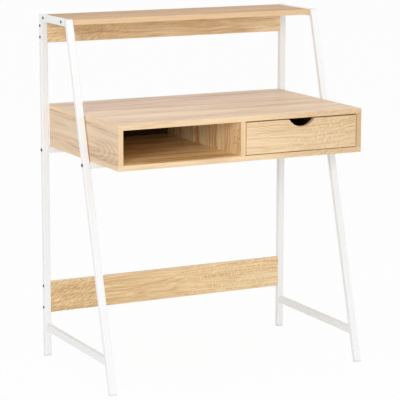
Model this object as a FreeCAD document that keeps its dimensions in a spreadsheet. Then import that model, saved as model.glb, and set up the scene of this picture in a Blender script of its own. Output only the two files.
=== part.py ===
import FreeCAD
import Part
import Sketcher

import os

# Ladder desk: two welded side frames of white tube carry a top shelf, two back rails
# and a desk body with an open bay on the left and a drawer on rollers on the right.
# X runs to the right, Y to the back and Z up. The origin lies on the floor, under the
# middle of the box round the whole desk. All sizes are in millimetres.

doc = FreeCAD.newDocument("ladder_desk")
dims = doc.addObject("Spreadsheet::Sheet", "Dims")

driving = {
    # the whole desk
    "overall_width": 800,
    "overall_depth": 495,
    "overall_height": 1005,
    "desktop_height": 748,
    # side frames of rectangular tube; a reach is taken from the rear legs' rear face
    "tube_width": 20,
    "tube_depth": 15,
    "tube_wall": 1.2,
    "tube_corner": 2,
    "front_top_reach": 201,
    "front_floor_reach": 482,
    "bar_height": 20,
    "bar_depth": 15,
    "top_bar_height": 18.5,
    "stretcher_lift": 77,
    # plugs in the tube ends
    "foot_rim": 5,
    "cap_rim": 1.5,
    "plug_length": 18,
    "plug_play": 0.1,
    # boards
    "board": 15,
    "shelf_setback": 6,
    "upper_rail_height": 65,
    "lower_rail_lift": 131,
    "lower_rail_height": 91,
    "body_height": 125,
    "body_gap": 2,
    "back_board": 3,
    "back_inset": 12,
    "groove_depth": 6,
    "groove_play": 0.2,
    # bolts through the legs into the cross bars
    "bolt_diameter": 6,
    "bolt_head": 10,
    "bolt_head_height": 3,
    "bolt_socket": 4,
    "bolt_length": 35,
    "end_plate": 3,
    # screws through the tubes into the boards
    "screw_diameter": 4,
    "screw_head": 8.5,
    "screw_head_height": 2.5,
    "screw_socket": 3,
    "rail_screw_length": 45,
    "shelf_screw_length": 45,
    "upper_screw_inset": 16,
    "lower_screw_inset": 15,
    "lower_screw_drop": 12,
    "shelf_screw_inset": 32,
    "body_screw_skin": 3,
    "fixing_offset": 250,
    "tab_width": 40,
    "tab_reach": 36,
    "tab_hole_inset": 9,
    "tab_thickness": 3,
    "hole_play": 0.25,
    "thread_play": 0.05,
    # joints between the body's boards
    "cam_diameter": 15,
    "cam_skin": 2.5,
    "cam_setback": 24,
    "cam_bolt_diameter": 6,
    "cam_reach": 10,
    "cam_inset": 70,
    "dowel_diameter": 8,
    "dowel_length": 30,
    "dowel_reach": 10,
    "dowel_inset": 120,
    "carcass_diameter": 6,
    "carcass_head": 9,
    "carcass_head_height": 4,
    "carcass_socket": 4,
    "carcass_length": 45,
    "carcass_inset": 45,
    # drawer
    "drawer_side_gap": 2,
    "drawer_under_gap": 2,
    "drawer_over_gap": 3,
    "finger_width": 81,
    "finger_depth": 21.5,
    "drawer_wall": 12,
    "drawer_wall_drop": 16,
    "drawer_back_room": 45,
    "drawer_floor": 3,
    "drawer_floor_lift": 8,
    "drawer_groove": 5,
    "mini_cam_diameter": 12,
    "mini_cam_skin": 2.5,
    "mini_cam_setback": 20,
    "mini_cam_bolt_diameter": 5,
    "mini_cam_reach": 10,
    "mini_cam_drop": 14,
    "box_screw_length": 35,
    # roller runners beside the drawer
    "runner_room": 12.5,
    "runner_short": 15,
    "runner_setback": 3,
    "runner_lift": 5,
    "runner_wall": 1.2,
    "runner_flange": 5.6,
    "runner_lip": 9,
    "runner_tuck": 10,
    "runner_play": 0.3,
    "track_gap": 0.5,
    "roller_diameter": 18,
    "roller_width": 3,
    "roller_inset": 14,
    "roll_gap": 0.2,
    "roller_play": 0.1,
    "bore_play": 0.05,
    "pin_diameter": 4,
    "pin_shoulder": 7,
    "pin_head": 6.5,
    "pin_head_height": 0.7,
    "flush_diameter": 3.5,
    "flush_head": 7,
    "flush_length": 11,
    "flush_inset": 70,
    # how far a cut runs past the face that it opens
    "overrun": 1,
    # shares of the sizes that they follow
    "crown_share": 0.7,
    "socket_depth_share": 0.6,
    "box_screw_share": 0.27,
}

# places, and sizes that follow others; the named rooms, skins and gaps above set the play
derived = {
    "rear_y": "overall_depth / 2",
    "body_front": "-overall_depth / 2",
    "inner_half": "overall_width / 2 - tube_width",
    "leg_middle": "(overall_width - tube_width) / 2",
    "rake": "(front_floor_reach - front_top_reach) / overall_height",
    "rake_stretch": "sqrt(1 + rake ^ 2)",
    "tube_top": "overall_height - cap_rim",
    "shelf_under": "tube_top - board",
    "shelf_depth": "front_top_reach - shelf_setback",
    "rail_screw_y": "rear_y - board / 2",
    "body_back": "rear_y - tube_depth",
    "body_half": "inner_half - body_gap",
    "body_bottom": "desktop_height - body_height",
    "bay_floor": "body_bottom + board",
    "bay_roof": "desktop_height - board",
    "bar_bottom": "body_bottom - bar_height",
    "bar_middle": "body_bottom - bar_height / 2",
    "rear_bar_y": "rear_y - tube_depth / 2",
    "front_bar_y": "rear_y - front_floor_reach + rake * bar_middle + tube_depth / 2 * rake_stretch",
    "back_rear": "body_back - back_inset",
    "back_front": "back_rear - back_board",
    "body_screw_bite": "board - body_screw_skin",
    "cam_height": "board - cam_skin",
    "bay_width": "body_half - board - board / 2",
    "bay_mid": "(body_half - board / 2) / 2",
    "box_front": "body_front + board",
    "box_back": "back_front - drawer_back_room",
    "drawer_box_depth": "box_back - box_front",
    "box_half": "bay_width / 2 - runner_room",
    "runner_bottom": "bay_floor + runner_lift",
    "runner_top": "runner_bottom + 2 * runner_wall + 2 * roll_gap + roller_diameter",
    "box_bottom": "runner_bottom + runner_wall",
    "box_floor": "box_bottom + drawer_floor_lift",
    "box_floor_top": "box_floor + drawer_floor",
    "drawer_top": "bay_roof - drawer_over_gap",
    "box_top": "drawer_top - drawer_wall_drop",
    "box_screw_inset": "(box_top - box_floor_top) * box_screw_share",
    "mini_cam_height": "drawer_wall - mini_cam_skin",
    "runner_length": "drawer_box_depth - runner_short",
    "finger_radius": "(finger_width ^ 2 / 4 + finger_depth ^ 2) / (2 * finger_depth)",
    "web_face": "runner_room - runner_wall",
    "web_top": "runner_top + runner_lip",
    "roller_height": "runner_bottom + runner_wall + roll_gap + roller_diameter / 2",
    "front_roller_y": "box_front + runner_setback + roller_inset",
    "rear_roller_y": "box_front + runner_length - roller_inset",
    "front_roller_far": "web_face - runner_play - pin_head_height - roller_play",
    "front_roller_near": "front_roller_far - roller_width",
    "rear_roller_near": "runner_wall + runner_play + pin_head_height + roller_play",
    "rear_roller_far": "rear_roller_near + roller_width",
}

for row, (name, amount) in enumerate(driving.items(), 1):
    dims.set(f"A{row}", name)
    dims.set(f"B{row}", str(amount))
    dims.setAlias(f"B{row}", name)
for row, (name, formula) in enumerate(derived.items(), 1):
    dims.set(f"D{row}", name)
    dims.set(f"E{row}", f"={formula}")
    dims.setAlias(f"E{row}", name)
doc.recompute()

nodes = []
sides = {"left": -1, "right": 1}
up = FreeCAD.Vector(0, 0, 1)
axis_share = 0.5  # an edge runs along an axis when this share of its direction does


def keep(item):
    nodes.append(item)
    return item


def value(formula):
    return float(dims.evalExpression(formula))


def shifted(point, axis, distance):
    return [f"({each}) + {step} * ({distance})" for each, step in zip(point, axis)]


def place(item, point):
    for axis, formula in zip("xyz", point):
        item.setExpression(f"Placement.Base.{axis}", formula)


# Plain solids, their cuts and their groups

def box(name, low, high):
    item = doc.addObject("Part::Box", name)
    for side, start, end in zip(("Length", "Width", "Height"), low, high):
        item.setExpression(side, f"({end}) - ({start})")
    place(item, low)
    return item


def rod(name, diameter, length, start, axis):
    item = doc.addObject("Part::Cylinder", name)
    item.setExpression("Radius", f"({diameter}) / 2")
    item.setExpression("Height", length)
    item.Placement.Rotation = FreeCAD.Rotation(up, FreeCAD.Vector(*axis))
    place(item, start)
    return item


def group(name, items):
    item = doc.addObject("Part::Compound", name)
    item.Links = items
    return item


def cut(name, base, tools):
    item = doc.addObject("Part::Cut", name)
    item.Base = base
    item.Tool = group(f"{name}_tools", tools)
    return item


def fuse(name, items):
    item = doc.addObject("Part::MultiFuse", name)
    item.Shapes = items
    return item


def board(name, low, high, tools):
    if tools:
        return keep(cut(name, box(f"{name}_blank", low, high), tools))
    return keep(box(name, low, high))


def screw(name, kind, seat, axis, length):
    # a button head with a hexagon socket; the seat is where the head meets the surface
    rise = f"Dims.{kind}_head_height"
    crown = shifted(seat, axis, f"-{rise}")
    shank = rod(f"{name}_shank", f"Dims.{kind}_diameter", length, seat, axis)
    head = doc.addObject("Part::Cone", f"{name}_head")
    head.setExpression("Radius1", f"Dims.{kind}_head / 2 * Dims.crown_share")
    head.setExpression("Radius2", f"Dims.{kind}_head / 2")
    head.setExpression("Height", rise)
    head.Placement.Rotation = FreeCAD.Rotation(up, FreeCAD.Vector(*axis))
    place(head, crown)
    socket = doc.addObject("Part::Prism", f"{name}_socket")
    socket.Polygon = 6
    socket.setExpression("Circumradius", f"Dims.{kind}_socket / sqrt(3)")
    socket.setExpression("Height", f"{rise} * Dims.socket_depth_share")
    socket.Placement.Rotation = FreeCAD.Rotation(up, FreeCAD.Vector(*axis))
    place(socket, crown)
    return cut(name, fuse(f"{name}_blank", [shank, head]), [socket])


def cam_joint(name, kind, centre, into, thickness, toward):
    # a cam lock let into a board's face, and the bolt that it draws in from the next board
    bolt_diameter = f"Dims.{kind}_bolt_diameter"
    setback = f"Dims.{kind}_setback"
    mouth = shifted(centre, into, f"-({thickness}) / 2")
    wide = f"{bolt_diameter} + 2 * Dims.hole_play"
    tip = shifted(centre, toward, f"-{bolt_diameter} / 2")
    cam = rod(f"{name}_disc", f"Dims.{kind}_diameter", f"Dims.{kind}_height", mouth, into)
    slot = rod(f"{name}_slot", wide, f"{setback} + {bolt_diameter}", tip, toward)
    bore = rod(f"{name}_bore", wide, f"{setback} + {bolt_diameter}", tip, toward)
    wide_cam = f"Dims.{kind}_diameter + 2 * Dims.thread_play"
    pocket = rod(f"{name}_pocket", wide_cam, f"Dims.{kind}_height", mouth, into)
    reach = f"{setback} + Dims.{kind}_reach"
    pilot = f"{bolt_diameter} + 2 * Dims.thread_play"
    return {
        "lock": cut(f"{name}_lock", cam, [slot]),
        "bolt": rod(f"{name}_bolt", bolt_diameter, reach, centre, toward),
        "panel_cuts": [fuse(f"{name}_seat", [pocket, bore])],
        "mate_cuts": [rod(f"{name}_pilot", pilot, reach, centre, toward)],
    }


# Solids drawn as outlines, padded and pocketed

def sketch_on(body, name, role):
    item = body.newObject("Sketcher::SketchObject", name)
    plane = next(each for each in body.Origin.OriginFeatures if each.Role == role)
    item.AttachmentSupport = [(plane, "")]
    item.MapMode = "FlatFace"
    return item


def bind_point(sketch, piece, corner, point):
    for kind, formula in zip(("DistanceX", "DistanceY"), point):
        number = sketch.addConstraint(Sketcher.Constraint(kind, -1, 1, piece, corner, value(formula)))
        sketch.setExpression(f"Constraints[{number}]", formula)


def polygon(body, name, role, points):
    sketch = sketch_on(body, name, role)
    spots = [FreeCAD.Vector(value(across), value(high), 0) for across, high in points]
    for start, end in zip(spots, spots[1:] + spots[:1]):
        sketch.addGeometry(Part.LineSegment(start, end))
    for piece in range(len(spots)):
        sketch.addConstraint(Sketcher.Constraint("Coincident", piece, 2, (piece + 1) % len(spots), 1))
    for piece, point in enumerate(points):
        bind_point(sketch, piece, 1, point)
    return sketch


def circles(body, name, role, spots):
    sketch = sketch_on(body, name, role)
    for across, high, diameter in spots:
        centre = FreeCAD.Vector(value(across), value(high), 0)
        piece = sketch.addGeometry(Part.Circle(centre, up, value(diameter) / 2))
        bind_point(sketch, piece, 3, (across, high))
        number = sketch.addConstraint(Sketcher.Constraint("Diameter", piece, value(diameter)))
        sketch.setExpression(f"Constraints[{number}]", diameter)
    return sketch


def pad(body, sketch, length):
    feature = body.newObject("PartDesign::Pad", f"{sketch.Name}_pad")
    feature.Profile = sketch
    feature.SideType = "Symmetric"
    feature.setExpression("Length", length)
    doc.recompute()
    return feature


def pocket(body, sketch, length=None):
    before = body.Shape.Volume
    feature = body.newObject("PartDesign::Pocket", f"{sketch.Name}_pocket")
    feature.Profile = sketch
    feature.SideType = "Symmetric"
    if length is None:
        feature.Type = "ThroughAll"
    else:
        feature.setExpression("Length", length)
    doc.recompute()
    if body.Shape.Volume >= before:
        raise RuntimeError(f"{feature.Name} cut nothing")
    return feature


def round_edges(body, base, axis, radius):
    names = []
    for number, edge in enumerate(base.Shape.Edges, 1):
        if abs(edge.tangentAt(edge.FirstParameter).dot(FreeCAD.Vector(*axis))) > axis_share:
            names.append(f"Edge{number}")
    feature = body.newObject("PartDesign::Fillet", f"{base.Name}_round")
    feature.Base = (base, names)
    feature.setExpression("Radius", radius)
    doc.recompute()
    return feature


def tube(name, outer, inner, width, hollow, axis):
    # a side view or section in the YZ plane, padded across X, rounded and hollowed
    body = doc.addObject("PartDesign::Body", name)
    solid = pad(body, polygon(body, f"{name}_outline", "YZ_Plane", outer), width)
    round_edges(body, solid, axis, "Dims.tube_corner")
    pocket(body, polygon(body, f"{name}_hollow", "YZ_Plane", inner), hollow)
    return keep(body)


# Side frames

def leg_line(leg, height, inset):
    # Y of a line along a leg, inset from its front face, at a height above the floor
    if leg == "rear":
        return f"Dims.rear_y - Dims.tube_depth + ({inset})"
    foot = "Dims.rear_y - Dims.front_floor_reach"
    return f"{foot} + Dims.rake * ({height}) + ({inset}) * Dims.rake_stretch"


def leg_outline(leg, low, high, inset):
    far = f"Dims.tube_depth - ({inset})"
    return [
        (leg_line(leg, low, inset), low),
        (leg_line(leg, low, far), low),
        (leg_line(leg, high, far), high),
        (leg_line(leg, high, inset), high),
    ]


bolt_hole = "Dims.bolt_diameter + 2 * Dims.hole_play"
screw_hole = "Dims.screw_diameter + 2 * Dims.hole_play"
screw_pilot = "Dims.screw_diameter + 2 * Dims.thread_play"
hollow_width = "Dims.tube_width - 2 * Dims.tube_wall"
upper_screw_heights = [
    "Dims.shelf_under - Dims.upper_screw_inset",
    "Dims.shelf_under - Dims.upper_rail_height + Dims.upper_screw_inset",
]
lower_screw_heights = [
    "Dims.lower_rail_lift + Dims.lower_screw_inset",
    "Dims.lower_rail_lift + Dims.lower_rail_height - Dims.lower_screw_drop",
]
shelf_screw_ys = [
    "Dims.rear_y - Dims.shelf_screw_inset",
    "Dims.rear_y - Dims.shelf_depth + Dims.shelf_screw_inset",
]
shelf_screw_height = "Dims.tube_top - Dims.board / 2"
rail_screw_heights = upper_screw_heights + lower_screw_heights
leg_holes = {
    "rear": [("Dims.rail_screw_y", height, screw_hole) for height in rail_screw_heights]
    + [("Dims.rear_bar_y", "Dims.bar_middle", bolt_hole)],
    "front": [("Dims.front_bar_y", "Dims.bar_middle", bolt_hole)],
}


def side_leg(name, leg, sign):
    outer = leg_outline(leg, "Dims.foot_rim", "Dims.tube_top", "0")
    below = "Dims.foot_rim - Dims.overrun"
    above = "Dims.tube_top + Dims.overrun"
    inner = leg_outline(leg, below, above, "Dims.tube_wall")
    body = tube(name, outer, inner, "Dims.tube_width", hollow_width, (0, 0, 1))
    pocket(body, circles(body, f"{name}_holes", "YZ_Plane", leg_holes[leg]))
    body.setExpression("Placement.Base.x", f"{sign} * Dims.leg_middle")


def side_bar(name, low, high, width, sign, spots):
    # a bar from the rear leg's front face to the front leg's rear face, on the legs' middle line
    outer = [
        (leg_line("front", low, "Dims.tube_depth"), low),
        (leg_line("rear", low, "0"), low),
        (leg_line("rear", high, "0"), high),
        (leg_line("front", high, "Dims.tube_depth"), high),
    ]
    floor = f"{low} + Dims.tube_wall"
    roof = f"{high} - Dims.tube_wall"
    front_end = "Dims.tube_depth - Dims.overrun"
    inner = [
        (leg_line("front", floor, front_end), floor),
        (leg_line("rear", floor, "Dims.overrun"), floor),
        (leg_line("rear", roof, "Dims.overrun"), roof),
        (leg_line("front", roof, front_end), roof),
    ]
    body = tube(name, outer, inner, width, f"{width} - 2 * Dims.tube_wall", (0, 1, 0))
    if spots:
        pocket(body, circles(body, f"{name}_holes", "YZ_Plane", spots))
    body.setExpression("Placement.Base.x", f"{sign} * Dims.leg_middle")


def plug(name, leg, sign, rim_low, rim_high, tongue_low, tongue_high):
    # a rim that ends the tube, and a tongue that fills its bore
    body = doc.addObject("PartDesign::Body", name)
    rim = polygon(body, f"{name}_rim", "YZ_Plane", leg_outline(leg, rim_low, rim_high, "0"))
    solid = pad(body, rim, "Dims.tube_width")
    round_edges(body, solid, (0, 0, 1), "Dims.tube_corner")
    inset = "Dims.tube_wall + Dims.plug_play"
    tongue = polygon(body, f"{name}_tongue", "YZ_Plane", leg_outline(leg, tongue_low, tongue_high, inset))
    pad(body, tongue, f"Dims.tube_width - 2 * ({inset})")
    body.setExpression("Placement.Base.x", f"{sign} * Dims.leg_middle")
    return body


caps = []
for side, sign in sides.items():
    for leg in ("rear", "front"):
        side_leg(f"{side}_{leg}_leg", leg, sign)
        foot_top = "Dims.foot_rim + Dims.plug_length"
        keep(plug(f"{side}_{leg}_foot", leg, sign, "0", "Dims.foot_rim", "Dims.foot_rim", foot_top))
        cap_low = "Dims.tube_top - Dims.plug_length"
        cap_top = "Dims.overall_height"
        cap = plug(f"{side}_{leg}_cap", leg, sign, "Dims.tube_top", cap_top, cap_low, "Dims.tube_top")
        caps.append(cap)
    top_bar_holes = [(y, shelf_screw_height, screw_hole) for y in shelf_screw_ys]
    top_bar_low = "Dims.tube_top - Dims.top_bar_height"
    side_bar(f"{side}_top_bar", top_bar_low, "Dims.tube_top", "Dims.tube_width", sign, top_bar_holes)
    stretcher_top = "Dims.stretcher_lift + Dims.bar_height"
    side_bar(f"{side}_stretcher", "Dims.stretcher_lift", stretcher_top, "Dims.bar_depth", sign, [])
keep(group("leg_top_caps", caps))


# Cross bars under the desk body, with their plates, bolts, tabs and screws

def bar_section(middle, inset):
    near = f"{middle} - Dims.bar_depth / 2 + ({inset})"
    far = f"{middle} + Dims.bar_depth / 2 - ({inset})"
    low = f"Dims.bar_bottom + ({inset})"
    high = f"Dims.body_bottom - ({inset})"
    return [(near, low), (far, low), (far, high), (near, high)]


bar_length = "2 * Dims.inner_half"
bars = {}
plates = []
bar_bolts = []
for bar, middle in {"front": "Dims.front_bar_y", "rear": "Dims.rear_bar_y"}.items():
    outer = bar_section(middle, "0")
    inner = bar_section(middle, "Dims.tube_wall")
    past_ends = f"{bar_length} + 2 * Dims.overrun"
    bars[bar] = tube(f"{bar}_cross_bar", outer, inner, bar_length, past_ends, (1, 0, 0))
    for side, sign in sides.items():
        name = f"{bar}_{side}_plate"
        mouth = f"{sign} * Dims.inner_half"
        edges = sorted([mouth, f"{sign} * (Dims.inner_half - Dims.end_plate)"], key=value)
        low = (edges[0], inner[0][0], inner[0][1])
        high = (edges[1], inner[2][0], inner[2][1])
        inward = (-sign, 0, 0)
        thread = "Dims.bolt_diameter + 2 * Dims.thread_play"
        hole = rod(f"{name}_thread", thread, "Dims.end_plate", (mouth, middle, "Dims.bar_middle"), inward)
        plates.append(cut(name, box(f"{name}_blank", low, high), [hole]))
        seat = (f"{sign} * Dims.overall_width / 2", middle, "Dims.bar_middle")
        bar_bolts.append(screw(f"{bar}_{side}_bolt", "bolt", seat, inward, "Dims.bolt_length"))
keep(group("bar_end_plates", plates))
keep(group("cross_bar_bolts", bar_bolts))

fixing_xs = {side: f"{sign} * Dims.fixing_offset" for side, sign in sides.items()}
bar_holes = [(x, "Dims.front_bar_y", screw_hole) for x in fixing_xs.values()]
pocket(bars["front"], circles(bars["front"], "front_cross_bar_holes", "XY_Plane", bar_holes))

tab_low_z = "Dims.body_bottom - Dims.tab_thickness"
tab_front_y = "Dims.body_back - Dims.tab_reach"
tab_hole_y = f"{tab_front_y} + Dims.tab_hole_inset"
tabs = []
body_screws = []
bottom_cuts = []
for side, x in fixing_xs.items():
    low = (f"{x} - Dims.tab_width / 2", tab_front_y, tab_low_z)
    high = (f"{x} + Dims.tab_width / 2", "Dims.body_back", "Dims.body_bottom")
    hole = rod(f"{side}_tab_hole", screw_hole, "Dims.tab_thickness", (x, tab_hole_y, tab_low_z), (0, 0, 1))
    tabs.append(cut(f"{side}_tab", box(f"{side}_tab_blank", low, high), [hole]))
    seats = {
        "front": ((x, "Dims.front_bar_y", "Dims.bar_bottom"), "Dims.bar_height"),
        "rear": ((x, tab_hole_y, tab_low_z), "Dims.tab_thickness"),
    }
    for end, (seat, passed) in seats.items():
        length = f"{passed} + Dims.body_screw_bite"
        name = f"{end}_{side}_body_screw"
        body_screws.append(screw(name, "screw", seat, (0, 0, 1), length))
        bottom_cuts.append(rod(f"{name}_pilot", screw_pilot, length, seat, (0, 0, 1)))
keep(group("rear_bar_tabs", tabs))
keep(group("body_screws", body_screws))


# Top shelf and back rails, held by screws through the side frames

def end_screws(name, ys, heights, seat_x, length):
    # screws from both sides along X, and the pilot holes that they leave in the board
    screws = []
    pilots = []
    for side, sign in sides.items():
        for y in ys:
            for height in heights:
                label = f"{name}_{side}_{len(screws)}"
                seat = (f"{sign} * ({seat_x})", y, height)
                screws.append(screw(label, "screw", seat, (-sign, 0, 0), length))
                pilots.append(rod(f"{label}_pilot", screw_pilot, length, seat, (-sign, 0, 0)))
    keep(group(name, screws))
    return pilots


leg_face = "Dims.overall_width / 2"
rail_ys = ["Dims.rail_screw_y"]
rail_length = "Dims.rail_screw_length"
shelf_length = "Dims.shelf_screw_length"
shelf_cuts = end_screws("shelf_screws", shelf_screw_ys, [shelf_screw_height], leg_face, shelf_length)
upper_cuts = end_screws("upper_rail_screws", rail_ys, upper_screw_heights, leg_face, rail_length)
lower_cuts = end_screws("lower_rail_screws", rail_ys, lower_screw_heights, leg_face, rail_length)

shelf_low = ("-Dims.inner_half", "Dims.rear_y - Dims.shelf_depth", "Dims.shelf_under")
board("top_shelf", shelf_low, ("Dims.inner_half", "Dims.rear_y", "Dims.tube_top"), shelf_cuts)
rail_front = "Dims.rear_y - Dims.board"
upper_low = ("-Dims.inner_half", rail_front, "Dims.shelf_under - Dims.upper_rail_height")
board("upper_back_rail", upper_low, ("Dims.inner_half", "Dims.rear_y", "Dims.shelf_under"), upper_cuts)
lower_low = ("-Dims.inner_half", rail_front, "Dims.lower_rail_lift")
lower_high = ("Dims.inner_half", "Dims.rear_y", "Dims.lower_rail_lift + Dims.lower_rail_height")
board("lower_back_rail", lower_low, lower_high, lower_cuts)


# Desk body: uprights between a desktop and a bottom panel, and a back panel in grooves

upright_middles = {
    "left_side_panel": "-(Dims.body_half - Dims.board / 2)",
    "divider": "0",
    "right_side_panel": "Dims.body_half - Dims.board / 2",
}
upright_backs = {
    "left_side_panel": "Dims.body_back",
    "divider": "Dims.back_front",
    "right_side_panel": "Dims.body_back",
}
cam_ways = {"left_side_panel": -1, "divider": -1, "right_side_panel": 1}


def from_both_ends(inset):
    return [f"Dims.body_front + {inset}", f"Dims.back_front - {inset}"]


groove_front = "Dims.back_front - Dims.groove_play"
groove_rear = "Dims.back_rear + Dims.groove_play"
inner_face = "Dims.body_half - Dims.board"
groove_side = f"{inner_face} + Dims.groove_depth"


def groove(name, low_x, high_x, low_z, high_z):
    return box(name, (low_x, groove_front, low_z), (high_x, groove_rear, high_z))


roof_groove = "Dims.bay_roof + Dims.groove_depth"
floor_groove = "Dims.bay_floor - Dims.groove_depth"
top_cuts = [groove("desktop_groove", f"-({groove_side})", groove_side, "Dims.bay_roof", roof_groove)]
bottom_groove = groove("bottom_groove", f"-({groove_side})", groove_side, floor_groove, "Dims.bay_floor")
bottom_cuts.append(bottom_groove)
upright_cuts = {
    "left_side_panel": [
        groove("left_groove", f"-({groove_side})", f"-({inner_face})", "Dims.bay_floor", "Dims.bay_roof")
    ],
    "divider": [],
    "right_side_panel": [
        groove("right_groove", inner_face, groove_side, "Dims.bay_floor", "Dims.bay_roof")
    ],
}
dowels = []
cam_bolts = []
cam_locks = []
carcass_screws = []
for upright, x in upright_middles.items():
    cuts = upright_cuts[upright]
    for end, y in zip(("front", "rear"), from_both_ends("Dims.cam_inset")):
        centre = (x, y, "Dims.bay_roof - Dims.cam_setback")
        into = (cam_ways[upright], 0, 0)
        joint = cam_joint(f"{upright}_{end}_cam", "cam", centre, into, "Dims.board", (0, 0, 1))
        cam_locks.append(joint["lock"])
        cam_bolts.append(joint["bolt"])
        cuts.extend(joint["panel_cuts"])
        top_cuts.extend(joint["mate_cuts"])
    for end, y in zip(("front", "rear"), from_both_ends("Dims.dowel_inset")):
        name = f"{upright}_{end}_dowel"
        start = (x, y, "Dims.bay_roof + Dims.dowel_reach - Dims.dowel_length")
        wide = "Dims.dowel_diameter + 2 * Dims.thread_play"
        dowels.append(rod(name, "Dims.dowel_diameter", "Dims.dowel_length", start, (0, 0, 1)))
        cuts.append(rod(f"{name}_lower_hole", wide, "Dims.dowel_length", start, (0, 0, 1)))
        top_cuts.append(rod(f"{name}_upper_hole", wide, "Dims.dowel_length", start, (0, 0, 1)))
    for end, y in zip(("front", "rear"), from_both_ends("Dims.carcass_inset")):
        name = f"{upright}_{end}_carcass_screw"
        seat = (x, y, "Dims.body_bottom + Dims.carcass_head_height")
        sunk = (x, y, "Dims.body_bottom")
        wide = "Dims.carcass_diameter + 2 * Dims.thread_play"
        wide_head = "Dims.carcass_head + 2 * Dims.hole_play"
        carcass_screws.append(screw(name, "carcass", seat, (0, 0, 1), "Dims.carcass_length"))
        cuts.append(rod(f"{name}_bore", wide, "Dims.carcass_length", seat, (0, 0, 1)))
        sink = rod(f"{name}_sink", wide_head, "Dims.carcass_head_height", sunk, (0, 0, 1))
        through = rod(f"{name}_through", wide, "Dims.carcass_length", seat, (0, 0, 1))
        bottom_cuts.append(fuse(f"{name}_seat", [sink, through]))

# Roller runners: x is taken across the room beside the drawer, from the bay's wall inwards

runner_sides = {"left": -1, "right": 1}


def room_x(sign, distance):
    return f"Dims.bay_mid + {sign} * (Dims.bay_width / 2 - ({distance}))"


def across(name, diameter, sign, near, far, y, z):
    return rod(name, diameter, f"({far}) - ({near})", (room_x(sign, near), y, z), (-sign, 0, 0))


def channel(name, points, start, end):
    # a folded steel strip: its section in the XZ plane, padded along Y
    body = doc.addObject("PartDesign::Body", name)
    pad(body, polygon(body, f"{name}_section", "XZ_Plane", points), f"({end}) - ({start})")
    body.setExpression("Placement.Base.y", f"(({start}) + ({end})) / 2")
    return body


def flush_screw(name, sign, near, inward, y, z):
    # a flat head that fills the strip's wall, on a shank that bites into the board behind it
    axis = (inward, 0, 0)
    seat = (room_x(sign, near), y, z)
    head = rod(f"{name}_head", "Dims.flush_head", "Dims.runner_wall", seat, axis)
    shank = rod(f"{name}_shank", "Dims.flush_diameter", "Dims.flush_length", seat, axis)
    wide_head = "Dims.flush_head + 2 * Dims.hole_play"
    wide_shank = "Dims.flush_diameter + 2 * Dims.thread_play"
    hole = rod(f"{name}_hole", wide_head, "Dims.runner_wall", seat, axis)
    pilot = rod(f"{name}_pilot", wide_shank, "Dims.flush_length", seat, axis)
    return fuse(name, [head, shank]), hole, pilot


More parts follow.
